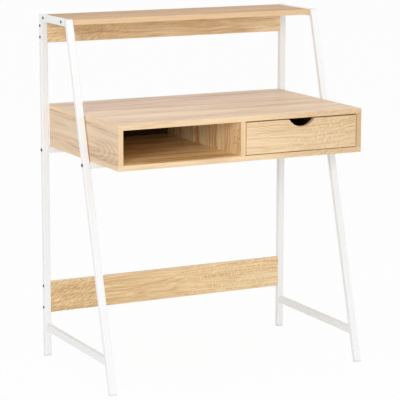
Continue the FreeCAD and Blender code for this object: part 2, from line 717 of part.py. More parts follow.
wall = "Dims.runner_wall"
flange = "Dims.runner_flange"
tuck_end = "Dims.runner_room + Dims.runner_tuck"
wide_pin = "Dims.pin_diameter + 2 * Dims.thread_play"
runner_start = "Dims.box_front + Dims.runner_setback"
runner_end = "Dims.box_front + Dims.runner_setback + Dims.runner_length"
track_end = "Dims.box_front + Dims.runner_length"
track_start = f"{flange} + Dims.track_gap"
lip_middle = "Dims.runner_top + Dims.runner_lip / 2"
cabinet_screws = []
runner_screws = []
front_pins = []
rear_pins = []
drawer_side_cuts = {side: [] for side in runner_sides}
bay_walls = {"left": "divider", "right": "right_side_panel"}
for side, sign in runner_sides.items():
    low = "Dims.runner_bottom"
    high = "Dims.runner_top"
    floor = f"{low} + {wall}"
    roof = f"{high} - {wall}"
    steps = [
        ("0", low),
        (flange, low),
        (flange, floor),
        (wall, floor),
        (wall, roof),
        (flange, roof),
        (flange, high),
        ("0", high),
    ]
    points = [(room_x(sign, distance), height) for distance, height in steps]
    cabinet_strip = channel(f"{side}_cabinet_strip", points, runner_start, runner_end)
    y = "Dims.front_roller_y"
    cabinet_cuts = [across(f"{side}_front_pin_hole", wide_pin, sign, "0", wall, y, "Dims.roller_height")]
    steps = [
        (tuck_end, low),
        ("Dims.web_face", low),
        ("Dims.web_face", roof),
        (track_start, roof),
        (track_start, high),
        ("Dims.web_face", high),
        ("Dims.web_face", "Dims.web_top"),
        ("Dims.runner_room", "Dims.web_top"),
        ("Dims.runner_room", "Dims.box_bottom"),
        (tuck_end, "Dims.box_bottom"),
    ]
    points = [(room_x(sign, distance), height) for distance, height in steps]
    drawer_strip = channel(f"{side}_drawer_strip", points, "Dims.box_front", track_end)
    y = "Dims.rear_roller_y"
    room = "Dims.runner_room"
    web = "Dims.web_face"
    pin_hole = across(f"{side}_rear_pin_hole", wide_pin, sign, web, room, y, "Dims.roller_height")
    drawer_cuts = [pin_hole]
    ends = {"front": f"{runner_start} + Dims.flush_inset", "rear": f"{track_end} - Dims.flush_inset"}
    for end, y in ends.items():
        name = f"{side}_{end}_cabinet_screw"
        item, hole, pilot = flush_screw(name, sign, wall, sign, y, "Dims.roller_height")
        cabinet_screws.append(item)
        cabinet_cuts.append(hole)
        upright_cuts[bay_walls[side]].append(pilot)
        name = f"{side}_{end}_runner_screw"
        item, hole, pilot = flush_screw(name, sign, "Dims.web_face", -sign, y, lip_middle)
        runner_screws.append(item)
        drawer_cuts.append(hole)
        drawer_side_cuts[side].append(pilot)
    keep(cut(f"{side}_cabinet_runner", cabinet_strip, cabinet_cuts))
    keep(cut(f"{side}_drawer_runner", drawer_strip, drawer_cuts))
    rollers = {
        "front": ("Dims.front_roller_near", "Dims.front_roller_far", "Dims.front_roller_y"),
        "rear": ("Dims.rear_roller_near", "Dims.rear_roller_far", "Dims.rear_roller_y"),
    }
    for end, (near, far, y) in rollers.items():
        name = f"{side}_{end}_roller"
        wheel = across(f"{name}_wheel", "Dims.roller_diameter", sign, near, far, y, "Dims.roller_height")
        wide = "Dims.pin_diameter + 2 * Dims.bore_play"
        bore = across(f"{name}_bore", wide, sign, near, far, y, "Dims.roller_height")
        keep(cut(name, wheel, [bore]))
    pin_parts = {
        "front": [
            ("Dims.pin_diameter", "0", "Dims.front_roller_far + Dims.roller_play"),
            ("Dims.pin_shoulder", wall, "Dims.front_roller_near - Dims.roller_play"),
            ("Dims.pin_head", "Dims.front_roller_far + Dims.roller_play", f"{web} - Dims.runner_play"),
        ],
        "rear": [
            ("Dims.pin_diameter", "Dims.rear_roller_near - Dims.roller_play", "Dims.runner_room"),
            ("Dims.pin_shoulder", "Dims.rear_roller_far + Dims.roller_play", "Dims.web_face"),
            ("Dims.pin_head", f"{wall} + Dims.runner_play", "Dims.rear_roller_near - Dims.roller_play"),
        ],
    }
    for end, parts in pin_parts.items():
        y = f"Dims.{end}_roller_y"
        solids = []
        for number, (diameter, near, far) in enumerate(parts):
            name = f"{side}_{end}_pin_{number}"
            solids.append(across(name, diameter, sign, near, far, y, "Dims.roller_height"))
        pin = fuse(f"{side}_{end}_pin", solids)
        (front_pins if end == "front" else rear_pins).append(pin)
keep(group("cabinet_runner_screws", cabinet_screws))
keep(group("drawer_runner_screws", runner_screws))
keep(group("front_roller_pins", front_pins))
keep(group("rear_roller_pins", rear_pins))

# Boards of the desk body

for upright, x in upright_middles.items():
    low = (f"{x} - Dims.board / 2", "Dims.body_front", "Dims.bay_floor")
    high = (f"{x} + Dims.board / 2", upright_backs[upright], "Dims.bay_roof")
    board(upright, low, high, upright_cuts[upright])
slab_low = ("-Dims.body_half", "Dims.body_front", "Dims.bay_roof")
board("desktop", slab_low, ("Dims.body_half", "Dims.body_back", "Dims.desktop_height"), top_cuts)
slab_low = ("-Dims.body_half", "Dims.body_front", "Dims.body_bottom")
board("bottom_panel", slab_low, ("Dims.body_half", "Dims.body_back", "Dims.bay_floor"), bottom_cuts)
back_side = f"{groove_side} - Dims.groove_play"
back_low = (f"-({back_side})", "Dims.back_front", f"{floor_groove} + Dims.groove_play")
back_high = (back_side, "Dims.back_rear", f"{roof_groove} - Dims.groove_play")
board("back_panel", back_low, back_high, [])
keep(group("panel_dowels", dowels))
keep(group("cam_bolts", cam_bolts))
keep(group("cam_locks", cam_locks))
keep(group("carcass_screws", carcass_screws))

# Drawer

drawer_half = "Dims.bay_width / 2 - Dims.drawer_side_gap"
front = doc.addObject("PartDesign::Body", "drawer_front_blank")
front_low = "Dims.bay_floor + Dims.drawer_under_gap"
front_points = [
    (f"Dims.bay_mid - ({drawer_half})", front_low),
    (f"Dims.bay_mid + {drawer_half}", front_low),
    (f"Dims.bay_mid + {drawer_half}", "Dims.drawer_top"),
    (f"Dims.bay_mid - ({drawer_half})", "Dims.drawer_top"),
]
pad(front, polygon(front, "drawer_front_outline", "XZ_Plane", front_points), "Dims.board")
finger_height = "Dims.drawer_top - Dims.finger_depth + Dims.finger_radius"
finger_spot = ("Dims.bay_mid", finger_height, "2 * Dims.finger_radius")
pocket(front, circles(front, "finger_cut", "XZ_Plane", [finger_spot]))
front.setExpression("Placement.Base.y", "Dims.body_front + Dims.board / 2")

front_cuts = []
back_cuts = []
drawer_locks = []
drawer_bolts = []
box_screws = []
box_inner = "Dims.box_half - Dims.drawer_wall"
for side, sign in runner_sides.items():
    cuts = drawer_side_cuts[side]
    wall_middle = f"Dims.bay_mid + {sign} * (Dims.box_half - Dims.drawer_wall / 2)"
    joint_height = "Dims.box_top - Dims.mini_cam_drop"
    centre = (wall_middle, "Dims.box_front + Dims.mini_cam_setback", joint_height)
    into = (-sign, 0, 0)
    joint = cam_joint(f"{side}_drawer_cam", "mini_cam", centre, into, "Dims.drawer_wall", (0, -1, 0))
    drawer_locks.append(joint["lock"])
    drawer_bolts.append(joint["bolt"])
    cuts.extend(joint["panel_cuts"])
    front_cuts.extend(joint["mate_cuts"])
    outer_x = f"Dims.bay_mid + {sign} * Dims.box_half"
    screw_y = "Dims.box_back - Dims.drawer_wall / 2"
    low_screw = "Dims.box_floor_top + Dims.box_screw_inset"
    for level, height in {"low": low_screw, "high": "Dims.box_top - Dims.box_screw_inset"}.items():
        name = f"{side}_{level}_box_screw"
        seat = (outer_x, screw_y, height)
        inward = (-sign, 0, 0)
        box_screws.append(screw(name, "screw", seat, inward, "Dims.box_screw_length"))
        cuts.append(rod(f"{name}_hole", screw_pilot, "Dims.box_screw_length", seat, inward))
        back_cuts.append(rod(f"{name}_pilot", screw_pilot, "Dims.box_screw_length", seat, inward))
    faces = [f"Dims.bay_mid + {sign} * ({box_inner})", outer_x]
    groove_faces = [faces[0], f"Dims.bay_mid + {sign} * ({box_inner} + Dims.drawer_groove)"]
    low_face, high_face = sorted(groove_faces, key=value)
    groove_low = (low_face, "Dims.box_front", "Dims.box_floor - Dims.groove_play")
    groove_high = (high_face, "Dims.box_back", "Dims.box_floor_top + Dims.groove_play")
    cuts.append(box(f"{side}_drawer_groove", groove_low, groove_high))
    low_face, high_face = sorted(faces, key=value)
    wall_low = (low_face, "Dims.box_front", "Dims.box_bottom")
    board(f"drawer_{side}_side", wall_low, (high_face, "Dims.box_back", "Dims.box_top"), cuts)

keep(cut("drawer_front", front, front_cuts))
back_low = (f"Dims.bay_mid - ({box_inner})", "Dims.box_back - Dims.drawer_wall", "Dims.box_floor_top")
board("drawer_back", back_low, (f"Dims.bay_mid + {box_inner}", "Dims.box_back", "Dims.box_top"), back_cuts)
floor_half = f"{box_inner} + Dims.drawer_groove - Dims.groove_play"
floor_low = (f"Dims.bay_mid - ({floor_half})", "Dims.box_front", "Dims.box_floor")
floor_high = (f"Dims.bay_mid + {floor_half}", "Dims.box_back", "Dims.box_floor_top")
board("drawer_bottom", floor_low, floor_high, [])
keep(group("drawer_cam_locks", drawer_locks))
keep(group("drawer_cam_bolts", drawer_bolts))
keep(group("drawer_back_screws", box_screws))

# Every object is checked before anything is written

doc.recompute()
for item in doc.Objects:
    if "Invalid" in item.State or "Error" in item.State:
        raise RuntimeError(f"{item.Name} failed: {item.State}")
for node in nodes:
    if node.Shape.isNull() or not node.Shape.isValid() or not node.Shape.Solids:
        raise RuntimeError(f"{node.Label} has no valid shape")

os.makedirs("parts", exist_ok=True)
for node in nodes:
    node.Shape.exportStep(f"parts/{node.Label}.step")
print(len(nodes), "nodes,", sum(len(node.Shape.Solids) for node in nodes), "solids")
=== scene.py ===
import itertools
import math

import bmesh
import bpy
from mathutils import Euler, Matrix, Vector


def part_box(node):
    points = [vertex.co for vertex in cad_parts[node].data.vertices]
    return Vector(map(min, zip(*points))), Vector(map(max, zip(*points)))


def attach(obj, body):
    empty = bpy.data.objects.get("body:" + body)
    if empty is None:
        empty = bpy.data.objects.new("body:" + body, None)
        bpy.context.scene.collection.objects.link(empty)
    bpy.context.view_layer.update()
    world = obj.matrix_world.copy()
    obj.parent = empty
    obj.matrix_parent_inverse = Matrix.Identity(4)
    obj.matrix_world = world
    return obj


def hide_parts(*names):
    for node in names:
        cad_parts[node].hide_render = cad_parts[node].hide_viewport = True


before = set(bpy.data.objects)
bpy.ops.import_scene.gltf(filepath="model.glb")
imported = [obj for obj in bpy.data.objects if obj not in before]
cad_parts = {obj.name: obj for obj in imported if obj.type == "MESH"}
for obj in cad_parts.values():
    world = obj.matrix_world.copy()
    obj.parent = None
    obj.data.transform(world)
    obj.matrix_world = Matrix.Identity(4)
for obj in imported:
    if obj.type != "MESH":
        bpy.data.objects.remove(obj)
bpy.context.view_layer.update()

# Ladder desk: white tube side frames, oak-look boards, one drawer on rollers.
# All lengths are in metres. X is to the right, Y to the back, Z up.

tiny = 0.00002  # two places this close are the same place
facing = 0.9  # a face looks one way when its normal goes more than this far along it
running = 0.5  # an edge runs along an axis when its direction goes more than this far along it
cornerAngle = 40  # degrees between two faces that meet at a corner
ways = {
    "left": Vector((-1, 0, 0)), "right": Vector((1, 0, 0)),
    "front": Vector((0, -1, 0)), "rear": Vector((0, 1, 0)),
    "under": Vector((0, 0, -1)), "over": Vector((0, 0, 1)),
}
sides = {"left": -1, "right": 1}
white = (1, 1, 1, 1)


# Picking, blocks and cuts

def clearPick():
    active = bpy.context.view_layer.objects.active
    if active and active.mode != "OBJECT":
        bpy.ops.object.mode_set(mode="OBJECT")
    bpy.ops.object.select_all(action="DESELECT")


def takeUp(piece):
    clearPick()
    piece.select_set(True)
    bpy.context.view_layer.objects.active = piece


def pick(piece, kind, test):
    # goes into edit mode with only the faces or edges that pass the test picked
    takeUp(piece)
    bpy.ops.object.mode_set(mode="EDIT")
    bpy.ops.mesh.select_mode(type=kind)
    bpy.ops.mesh.select_all(action="DESELECT")
    shape = bmesh.from_edit_mesh(piece.data)
    for item in (shape.faces if kind == "FACE" else shape.edges):
        if test(item):
            item.select_set(True)
    bmesh.update_edit_mesh(piece.data)


def pickFaces(piece, test):
    pick(piece, "FACE", test)


def pickEdges(piece, test):
    pick(piece, "EDGE", test)


def stopEdit():
    bpy.ops.object.mode_set(mode="OBJECT")


def edgeRun(edge):
    return (edge.verts[1].co - edge.verts[0].co).normalized()


def edgeMiddle(edge):
    return (edge.verts[1].co + edge.verts[0].co) / 2


def isSharp(edge):
    return len(edge.link_faces) == 2 and edge.calc_face_angle() > math.radians(cornerAngle)


def runsAlong(edge, axis):
    return abs(getattr(edgeRun(edge), axis)) > running


def looks(face, way):
    return face.normal.dot(ways[way]) > facing


def isLevel(face, height):
    return abs(face.calc_center_median().z - height) < tiny


def nameNew(name):
    # the shape just added, with its place and size moved into its points
    piece = bpy.context.object
    piece.name = piece.data.name = name
    bpy.ops.object.transform_apply(location=True, rotation=True, scale=True)
    return piece


def addBlock(name, low, high):
    clearPick()
    bpy.ops.mesh.primitive_cube_add(size=1, location=(low + high) / 2, scale=high - low)
    return nameNew(name)


def addRod(name, centre, way, radius, length, facets=32):
    clearPick()
    turn = ways["over"].rotation_difference(way).to_euler()
    bpy.ops.mesh.primitive_cylinder_add(
        vertices=facets, radius=radius, depth=length, location=centre, rotation=turn)
    return nameNew(name)


def addLeaning(name, low, high, shift):
    # a block with its upper face moved along Y
    piece = addBlock(name, low, high)
    pickFaces(piece, lambda face: looks(face, "over"))
    bpy.ops.transform.translate(value=(0, shift, 0))
    stopEdit()
    return piece


def drawOut(step):
    bpy.ops.mesh.extrude_region_move(TRANSFORM_OT_translate={"value": step})


def carve(piece, cutter, finish):
    # takes the cutter's shape out of the piece, and paints the cut with the finish
    cutter.data.materials.append(finish)
    takeUp(piece)
    bpy.ops.object.modifier_add(type="BOOLEAN")
    tool = piece.modifiers[-1]
    tool.operation = "DIFFERENCE"
    tool.solver = "EXACT"
    tool.material_mode = "TRANSFER"
    tool.object = cutter
    bpy.ops.object.modifier_apply(modifier=tool.name)
    bpy.data.objects.remove(cutter)


def roundEdges(piece, test, width, steps=3):
    pickEdges(piece, test)
    bpy.ops.mesh.bevel(offset=width, segments=steps, profile=0.5, affect="EDGES")
    stopEdit()


def roundAlong(piece, axis, shape):
    roundEdges(piece, lambda edge: runsAlong(edge, axis), shape["corner"], shape["cornerSteps"])


def smoothOff(piece, angle=cornerAngle):
    takeUp(piece)
    bpy.ops.object.shade_smooth_by_angle(angle=math.radians(angle))
    bpy.ops.object.modifier_add(type="WEIGHTED_NORMAL")
    piece.modifiers[-1].keep_sharp = True
    bpy.ops.object.modifier_apply(modifier=piece.modifiers[-1].name)


def dress(piece, finish, angle=cornerAngle):
    piece.data.materials.append(finish)
    smoothOff(piece, angle)


def joinUp(name, pieces):
    clearPick()
    for piece in pieces:
        piece.select_set(True)
    bpy.context.view_layer.objects.active = pieces[0]
    if len(pieces) > 1:
        bpy.ops.object.join()
    whole = bpy.context.object
    whole.name = whole.data.name = name
    return whole


def settle(piece, body, slot, *nodes):
    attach(piece, body)
    if nodes:
        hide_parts(*nodes)


def spanAt(node, level):
    # the Y range of a CAD node's points at one height
    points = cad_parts[node].data.vertices
    found = [point.co.y for point in points if abs(point.co.z - level) < tiny]
    return min(found), max(found)


# Nodes for the finishes

def paint(red, green, blue):
    # a colour as it looks on screen, 0 to 255, made linear
    return tuple(((part / 255 + 0.055) / 1.055) ** 2.4 for part in (red, green, blue)) + (1,)


def newFinish(name):
    finish = bpy.data.materials.new(name)
    finish.use_nodes = True
    return finish, finish.node_tree, finish.node_tree.nodes["Principled BSDF"]


def addNode(tree, kind, links=None, **settings):
    node = tree.nodes.new(kind)
    for key, amount in settings.items():
        setattr(node, key, amount)
    for socket, source in (links or {}).items():
        if isinstance(source, bpy.types.NodeSocket):
            tree.links.new(source, node.inputs[socket])
        else:
            node.inputs[socket].default_value = source
    return node


def mapped(tree, place, links):
    return addNode(tree, "ShaderNodeMapping", {"Vector": place, **links}).outputs["Vector"]


def noise(tree, place, detail, roughness, scale=1.0, output="Fac"):
    links = {"Vector": place, "Scale": scale, "Detail": detail, "Roughness": roughness}
    return addNode(tree, "ShaderNodeTexNoise", links).outputs[output]


def ranged(tree, source, low, high, toLow=0.0, toHigh=1.0):
    links = {"Value": source, "From Min": low, "From Max": high, "To Min": toLow, "To Max": toHigh}
    return addNode(tree, "ShaderNodeMapRange", links, interpolation_type="SMOOTHSTEP").outputs["Result"]


def maths(tree, operation, first, second, clamp=False):
    links = {0: first, 1: second}
    return addNode(tree, "ShaderNodeMath", links, operation=operation, use_clamp=clamp).outputs[0]


def plus(tree, first, second):
    return maths(tree, "ADD", first, second)


def minus(tree, first, second):
    return maths(tree, "SUBTRACT", first, second)


def times(tree, first, second):
    return maths(tree, "MULTIPLY", first, second)


def swing(tree, source, amount):
    # a noise taken about its mean, so that it darkens as much as it lightens
    return times(tree, minus(tree, source, 0.5), amount)


def vectorMaths(tree, operation, first, second, output="Vector"):
    links = {0: first, 1: second}
    return addNode(tree, "ShaderNodeVectorMath", links, operation=operation).outputs[output]


def mixed(tree, amount, first, second):
    links = {0: amount, 6: first, 7: second}  # the sockets of a colour mix
    return addNode(tree, "ShaderNodeMix", links, data_type="RGBA").outputs[2]


socketKinds = {1: "Float", 3: "Vector", 4: "Color"}


def newGroup(name, inputs, outputs):
    # inputs are {name: start}: one number makes a float, three make a vector and four a colour
    group = bpy.data.node_groups.new(name, "ShaderNodeTree")
    for key, start in inputs.items():
        kind = socketKinds[len(start) if isinstance(start, tuple) else 1]
        socket = group.interface.new_socket(key, in_out="INPUT", socket_type=f"NodeSocket{kind}")
        socket.default_value = start
    for key, kind in outputs.items():
        group.interface.new_socket(key, in_out="OUTPUT", socket_type=f"NodeSocket{kind}")
    return group, group.nodes.new("NodeGroupInput").outputs, group.nodes.new("NodeGroupOutput").inputs


# Oak decor

plainOak = {
    "Heart": (0.5, 0.5, 0.2), "Flame": 0.06, "Flame Reach": 1.0, "Ring Size": 0.012, "Figure": 0.2,
    "Streak Size": 0.008, "Streaks": 0.5, "Pores": 0.3,
    "Fleck And Shade Place": (0, 0, 0), "Fleck And Shade Reach": 0.1, "Fleck And Shade Spread": 0.09, "Flecks And Shade": 0.0,
    "Saw Place": (0, 0, 0), "Saw Reach": 0.1, "Saw Marks": 0.0, "Roughness": 0.4,
}
# each noise: its cells in a metre along the grain and across it, its detail and its roughness
oakNoise = {
    "sway": ((2.4, 6, 6), 2, 0.5), "broad": ((1.1, 20, 20), 2, 0.5), "fibre": ((9, 480, 480), 3, 0.65),
    "pores": ((60, 700, 700), 2, 0.5), "patch": ((4, 13, 13), 1, 0.5), "flecks": ((46, 340, 340), 2, 0.5),
    "saw": ((300, 90, 90), 2, 0.55),
}
# where a value starts to count and where it counts in full, and what it then gives at each end
oakRange = {
    "late": (0.4, 1.0), "patch": (0.38, 0.6, 0.1, 1.0), "deepToMiddle": (0.0, 0.65), "toPale": (0.4, 0.95),
    "pores": (0.53, 0.68), "latePores": (0.0, 0.6, 0.5, 1.0), "saw": (0.5, 0.66),
    "near": (0.4, 1.0, 1.0, 0.0),
}
oakShare = {
    "sway": 0.06, "broad": 0.8, "streak": 1.3, "fibre": 0.9, "lateMean": 0.25, "fleckAndShadeMiddle": 0.53,
    "fibreRough": 0.1, "darkRough": 0.2, "fibreHeight": 0.5, "sawHeight": 0.4,
}
oakRings = {"Distortion": 1.6, "Detail": 2.0, "Detail Scale": 0.35, "Detail Roughness": 0.5}
ringLength = 0.314  # a ring of a wave texture at a scale of one
streakCells = 2.2  # in a metre along the grain
patchShift = (5.0, 2.0, 7.0)
fleckSlant = (0, math.radians(26), 0)


def nearTo(tree, place, centre, reach):
    # one at the centre, fading to nothing at the reach
    away = vectorMaths(tree, "DISTANCE", place, centre, "Value")
    return ranged(tree, maths(tree, "DIVIDE", away, reach), *oakRange["near"])


def buildOakFigure():
    # printed oak decor with its grain along X: rings round a heart, streaks and fibre along the grain,
    # short pores, slanting flecks that melt into one soft painted shade where their spread is wide, and saw
    # marks
    tree, given, result = newGroup(
        "oakFigure", {"Place": (0, 0, 0), **plainOak, "Pale": white, "Middle": white, "Deep": white},
        {"Color": "Color", "Roughness": "Float", "Height": "Float"})
    place = given["Place"]

    def grained(kind, start=place, shift=(0, 0, 0), output="Fac"):
        cells, detail, roughness = oakNoise[kind]
        spread = mapped(tree, start, {"Scale": cells, "Location": shift})
        return noise(tree, spread, detail, roughness, output=output)

    sway = vectorMaths(tree, "SUBTRACT", grained("sway", output="Color"), (0.5, 0.5, 0.5))
    sway = vectorMaths(tree, "MULTIPLY", sway, (0, oakShare["sway"], oakShare["sway"]))
    swayed = vectorMaths(tree, "ADD", place, sway)
    # behind the heart the rings run straight along the grain; past it they close in flame tips,
    # and beyond the reach of the tips they run straight again
    along, deep, up = addNode(tree, "ShaderNodeSeparateXYZ", {
        0: vectorMaths(tree, "SUBTRACT", swayed, given["Heart"])}).outputs
    past = maths(tree, "MINIMUM", maths(tree, "MAXIMUM", along, 0.0), given["Flame Reach"])
    closing = times(tree, past, given["Flame"])
    askew = addNode(tree, "ShaderNodeCombineXYZ", {1: plus(tree, deep, closing), 2: up}).outputs[0]
    ringScale = maths(tree, "DIVIDE", ringLength, given["Ring Size"])
    rings = addNode(
        tree, "ShaderNodeTexWave", {"Vector": askew, "Scale": ringScale, **oakRings},
        wave_type="RINGS", rings_direction="X", wave_profile="SIN").outputs["Fac"]
    across = maths(tree, "DIVIDE", 1.0, given["Streak Size"])
    streakScale = addNode(tree, "ShaderNodeCombineXYZ", {0: streakCells, 1: across, 2: across}).outputs[0]
    streak = noise(tree, vectorMaths(tree, "MULTIPLY", swayed, streakScale), detail=3, roughness=0.6)
    fibre = grained("fibre")
    # late wood darkens towards the end of each ring, more in some places than in others
    patch = ranged(tree, grained("patch", shift=patchShift), *oakRange["patch"])
    lateWood = times(tree, ranged(tree, rings, *oakRange["late"]), patch)
    tone = swing(tree, grained("broad"), oakShare["broad"])
    tone = plus(tree, tone, swing(tree, streak, oakShare["streak"]))
    tone = plus(tree, tone, swing(tree, fibre, oakShare["fibre"]))
    tone = times(tree, tone, given["Streaks"])
    lateSwing = times(tree, minus(tree, oakShare["lateMean"], lateWood), given["Figure"])
    tone = plus(tree, plus(tree, tone, lateSwing), 0.5)
    colour = mixed(tree, ranged(tree, tone, *oakRange["deepToMiddle"]), given["Deep"], given["Middle"])
    colour = mixed(tree, ranged(tree, tone, *oakRange["toPale"]), colour, given["Pale"])
    # pores are strongest in late wood
    latePores = ranged(tree, lateWood, *oakRange["latePores"])
    poreMask = times(tree, ranged(tree, grained("pores"), *oakRange["pores"]), latePores)
    poreMask = times(tree, poreMask, given["Pores"])
    # with a narrow spread these are dark flecks; with a wide spread they are a soft painted shade round
    # their place
    fleckAndShadeLow = minus(tree, oakShare["fleckAndShadeMiddle"], given["Fleck And Shade Spread"])
    fleckAndShadeHigh = plus(tree, oakShare["fleckAndShadeMiddle"], given["Fleck And Shade Spread"])
    flecks = grained("flecks", mapped(tree, place, {"Rotation": fleckSlant}))
    fleckAndShadeMask = times(tree, ranged(tree, flecks, fleckAndShadeLow, fleckAndShadeHigh), given["Flecks And Shade"])
    fleckAndShadeMask = times(tree, fleckAndShadeMask, nearTo(tree, place, given["Fleck And Shade Place"], given["Fleck And Shade Reach"]))
    darkMask = maths(tree, "MAXIMUM", poreMask, fleckAndShadeMask)
    colour = mixed(tree, darkMask, colour, given["Deep"])
    sawMask = times(tree, ranged(tree, grained("saw"), *oakRange["saw"]), given["Saw Marks"])
    sawMask = times(tree, sawMask, nearTo(tree, place, given["Saw Place"], given["Saw Reach"]))
    tree.links.new(mixed(tree, sawMask, colour, given["Pale"]), result["Color"])
    rough = plus(tree, given["Roughness"], times(tree, fibre, oakShare["fibreRough"]))
    rough = plus(tree, rough, times(tree, darkMask, oakShare["darkRough"]))
    tree.links.new(rough, result["Roughness"])
    height = minus(tree, times(tree, fibre, oakShare["fibreHeight"]), darkMask)
    height = plus(tree, height, times(tree, sawMask, oakShare["sawHeight"]))
    tree.links.new(height, result["Height"])
    return tree


oakFigure = buildOakFigure()
grainTurns = {"x": (0, 0, 0), "y": (0, 0, math.radians(90)), "z": (0, math.radians(90), 0)}
oakSurface = {"gloss": 0.42, "relief": 0.12}
reliefDepth = 0.0002  # height of a bump at full strength


def wireSkin(tree, shader, colour, skin, relief):
    # the colour, and the roughness and height that the skin's group puts out
    bump = addNode(tree, "ShaderNodeBump", {
        "Height": skin.outputs["Height"], "Strength": relief, "Distance": reliefDepth})
    tree.links.new(colour, shader.inputs["Base Color"])
    tree.links.new(skin.outputs["Roughness"], shader.inputs["Roughness"])
    tree.links.new(bump.outputs["Normal"], shader.inputs["Normal"])


def oakFinish(name, grain, pale, middle, deep, changes):
    # a place in the changes is a point of the desk; it is turned with the grain
    finish, tree, shader = newFinish(name)
    place = addNode(tree, "ShaderNodeTexCoord").outputs["Object"]
    amounts = {**plainOak, **changes, "Pale": paint(*pale), "Middle": paint(*middle), "Deep": paint(*deep)}
    for key in ("Heart", "Fleck And Shade Place", "Saw Place"):
        amounts[key] = Euler(grainTurns[grain]).to_matrix() @ Vector(amounts[key])
    amounts["Place"] = mapped(tree, place, {"Rotation": grainTurns[grain]})
    wood = addNode(tree, "ShaderNodeGroup", amounts, node_tree=oakFigure)
    wireSkin(tree, shader, wood.outputs["Color"], wood, oakSurface["relief"])
    shader.inputs["Specular IOR Level"].default_value = oakSurface["gloss"]
    return finish


rawBeech = oakFinish(
    "rawBeech", "z", (226, 196, 154), (212, 180, 136), (182, 146, 102), {"Roughness": 0.6})
# the flecks near the top's right end are spread wide into a soft painted shade that darkens it towards the
# right
oakTop = oakFinish("oakTop", "x", (250, 224, 192), (242, 211, 176), (200, 161, 123), {
    "Heart": (0.1, 0.35, 0.66), "Ring Size": 0.022, "Figure": 0.2,
    "Streak Size": 0.014, "Streaks": 1.1, "Pores": 0.1, "Roughness": 0.32,
    "Fleck And Shade Place": (0.3, -0.12, 0.748), "Fleck And Shade Reach": 0.42, "Fleck And Shade Spread": 0.5, "Flecks And Shade": 0.35})
# painted shade: the shelf's tones are darker than the desktop's, so that its lit top renders darker
oakShelfPaintedShade = oakFinish("oakShelfPaintedShade", "x", (209, 168, 117), (195, 151, 101), (160, 115, 68), {
    "Heart": (0.2, 0.1, 0.93), "Ring Size": 0.02, "Figure": 0.2,
    "Streak Size": 0.014, "Streaks": 1.1, "Pores": 0.1})
# painted light: the bay floor's tones are paler and more saturated than the other boards', so that the
# floor in the shaded bay renders bright
oakFloorPaintedLight = oakFinish("oakFloorPaintedLight", "x", (255, 235, 186), (254, 220, 160), (194, 140, 80), {
    "Heart": (-0.3, -0.16, 0.6), "Ring Size": 0.02, "Figure": 0.55,
    "Streak Size": 0.014, "Streaks": 1.5, "Pores": 0.2})
# painted light: the upper rail's tones are paler than the other boards' to make up for the shelf's shadow
# on it; the flecks at its left end are real flecks and also painted shade that darkens the end the lamps
# light more
oakRailPaintedLightAndShade = oakFinish("oakRailPaintedLightAndShade", "x", (255, 238, 202), (251, 227, 185), (206, 168, 117), {
    "Heart": (0.1, 0.29, 0.95), "Figure": 0.06, "Streak Size": 0.005, "Streaks": 0.95, "Pores": 0.35,
    "Fleck And Shade Place": (-0.4, 0.23, 0.95), "Fleck And Shade Reach": 0.42, "Fleck And Shade Spread": 0.2, "Flecks And Shade": 0.8})
oakLowRail = oakFinish("oakLowRail", "x", (246, 224, 184), (231, 195, 143), (178, 136, 86), {
    "Heart": (-0.25, 0.29, 0.15), "Ring Size": 0.009, "Figure": 0.08, "Streak Size": 0.004, "Streaks": 0.75,
    "Fleck And Shade Place": (-0.36, 0.23, 0.18), "Fleck And Shade Reach": 0.26, "Fleck And Shade Spread": 0.18, "Flecks And Shade": 0.75,
    "Saw Place": (0.3, 0.23, 0.16), "Saw Reach": 0.36, "Saw Marks": 0.9})
# the flecks near the drawer front's right end are spread wide into a soft painted shade that darkens it
# towards the right
oakDrawer = oakFinish("oakDrawer", "x", (249, 225, 190), (236, 206, 163), (190, 151, 104), {
    "Heart": (0.01, -0.243, 0.658), "Flame": 0.5, "Flame Reach": 0.075, "Ring Size": 0.0065, "Figure": 0.17,
    "Streak Size": 0.0035, "Streaks": 0.65, "Pores": 0.2,
    "Fleck And Shade Place": (0.38, -0.2475, 0.66), "Fleck And Shade Reach": 0.32, "Fleck And Shade Spread": 0.5, "Flecks And Shade": 0.6,
    "Saw Place": (0.24, -0.2475, 0.645), "Saw Reach": 0.14, "Saw Marks": 0.45})
sideTones = (237, 214, 185), (230, 202, 169), (191, 153, 115)
sideFigure = {"Ring Size": 0.013, "Figure": 0.13, "Streak Size": 0.012, "Streaks": 0.75, "Pores": 0.12}
oakSide = oakFinish(
    "oakSide", "y", *sideTones, {**sideFigure, "Heart": (-0.378, -0.102, 0.666), "Flame": 0.4})
oakStraight = oakFinish("oakStraight", "y", *sideTones, {**sideFigure, "Heart": (0.43, -0.3, 0.66)})
# painted light: the divider's tones are paler and more saturated than the side panels', so that its face in
# the shaded bay renders bright
oakUprightPaintedLight = oakFinish("oakUprightPaintedLight", "z", (254, 236, 197), (252, 224, 177), (212, 159, 92), {
    "Heart": (0.01, -0.222, 0.63), "Flame": 0.3, "Ring Size": 0.016, "Figure": 0.16,
    "Streak Size": 0.01, "Streaks": 1.6, "Pores": 0.15,
    "Fleck And Shade Place": (-0.0075, -0.23, 0.685), "Fleck And Shade Reach": 0.055, "Flecks And Shade": 0.8})
bandFigure = {"Figure": 0.08, "Streak Size": 0.005, "Streaks": 0.4, "Pores": 0.15, "Roughness": 0.45}
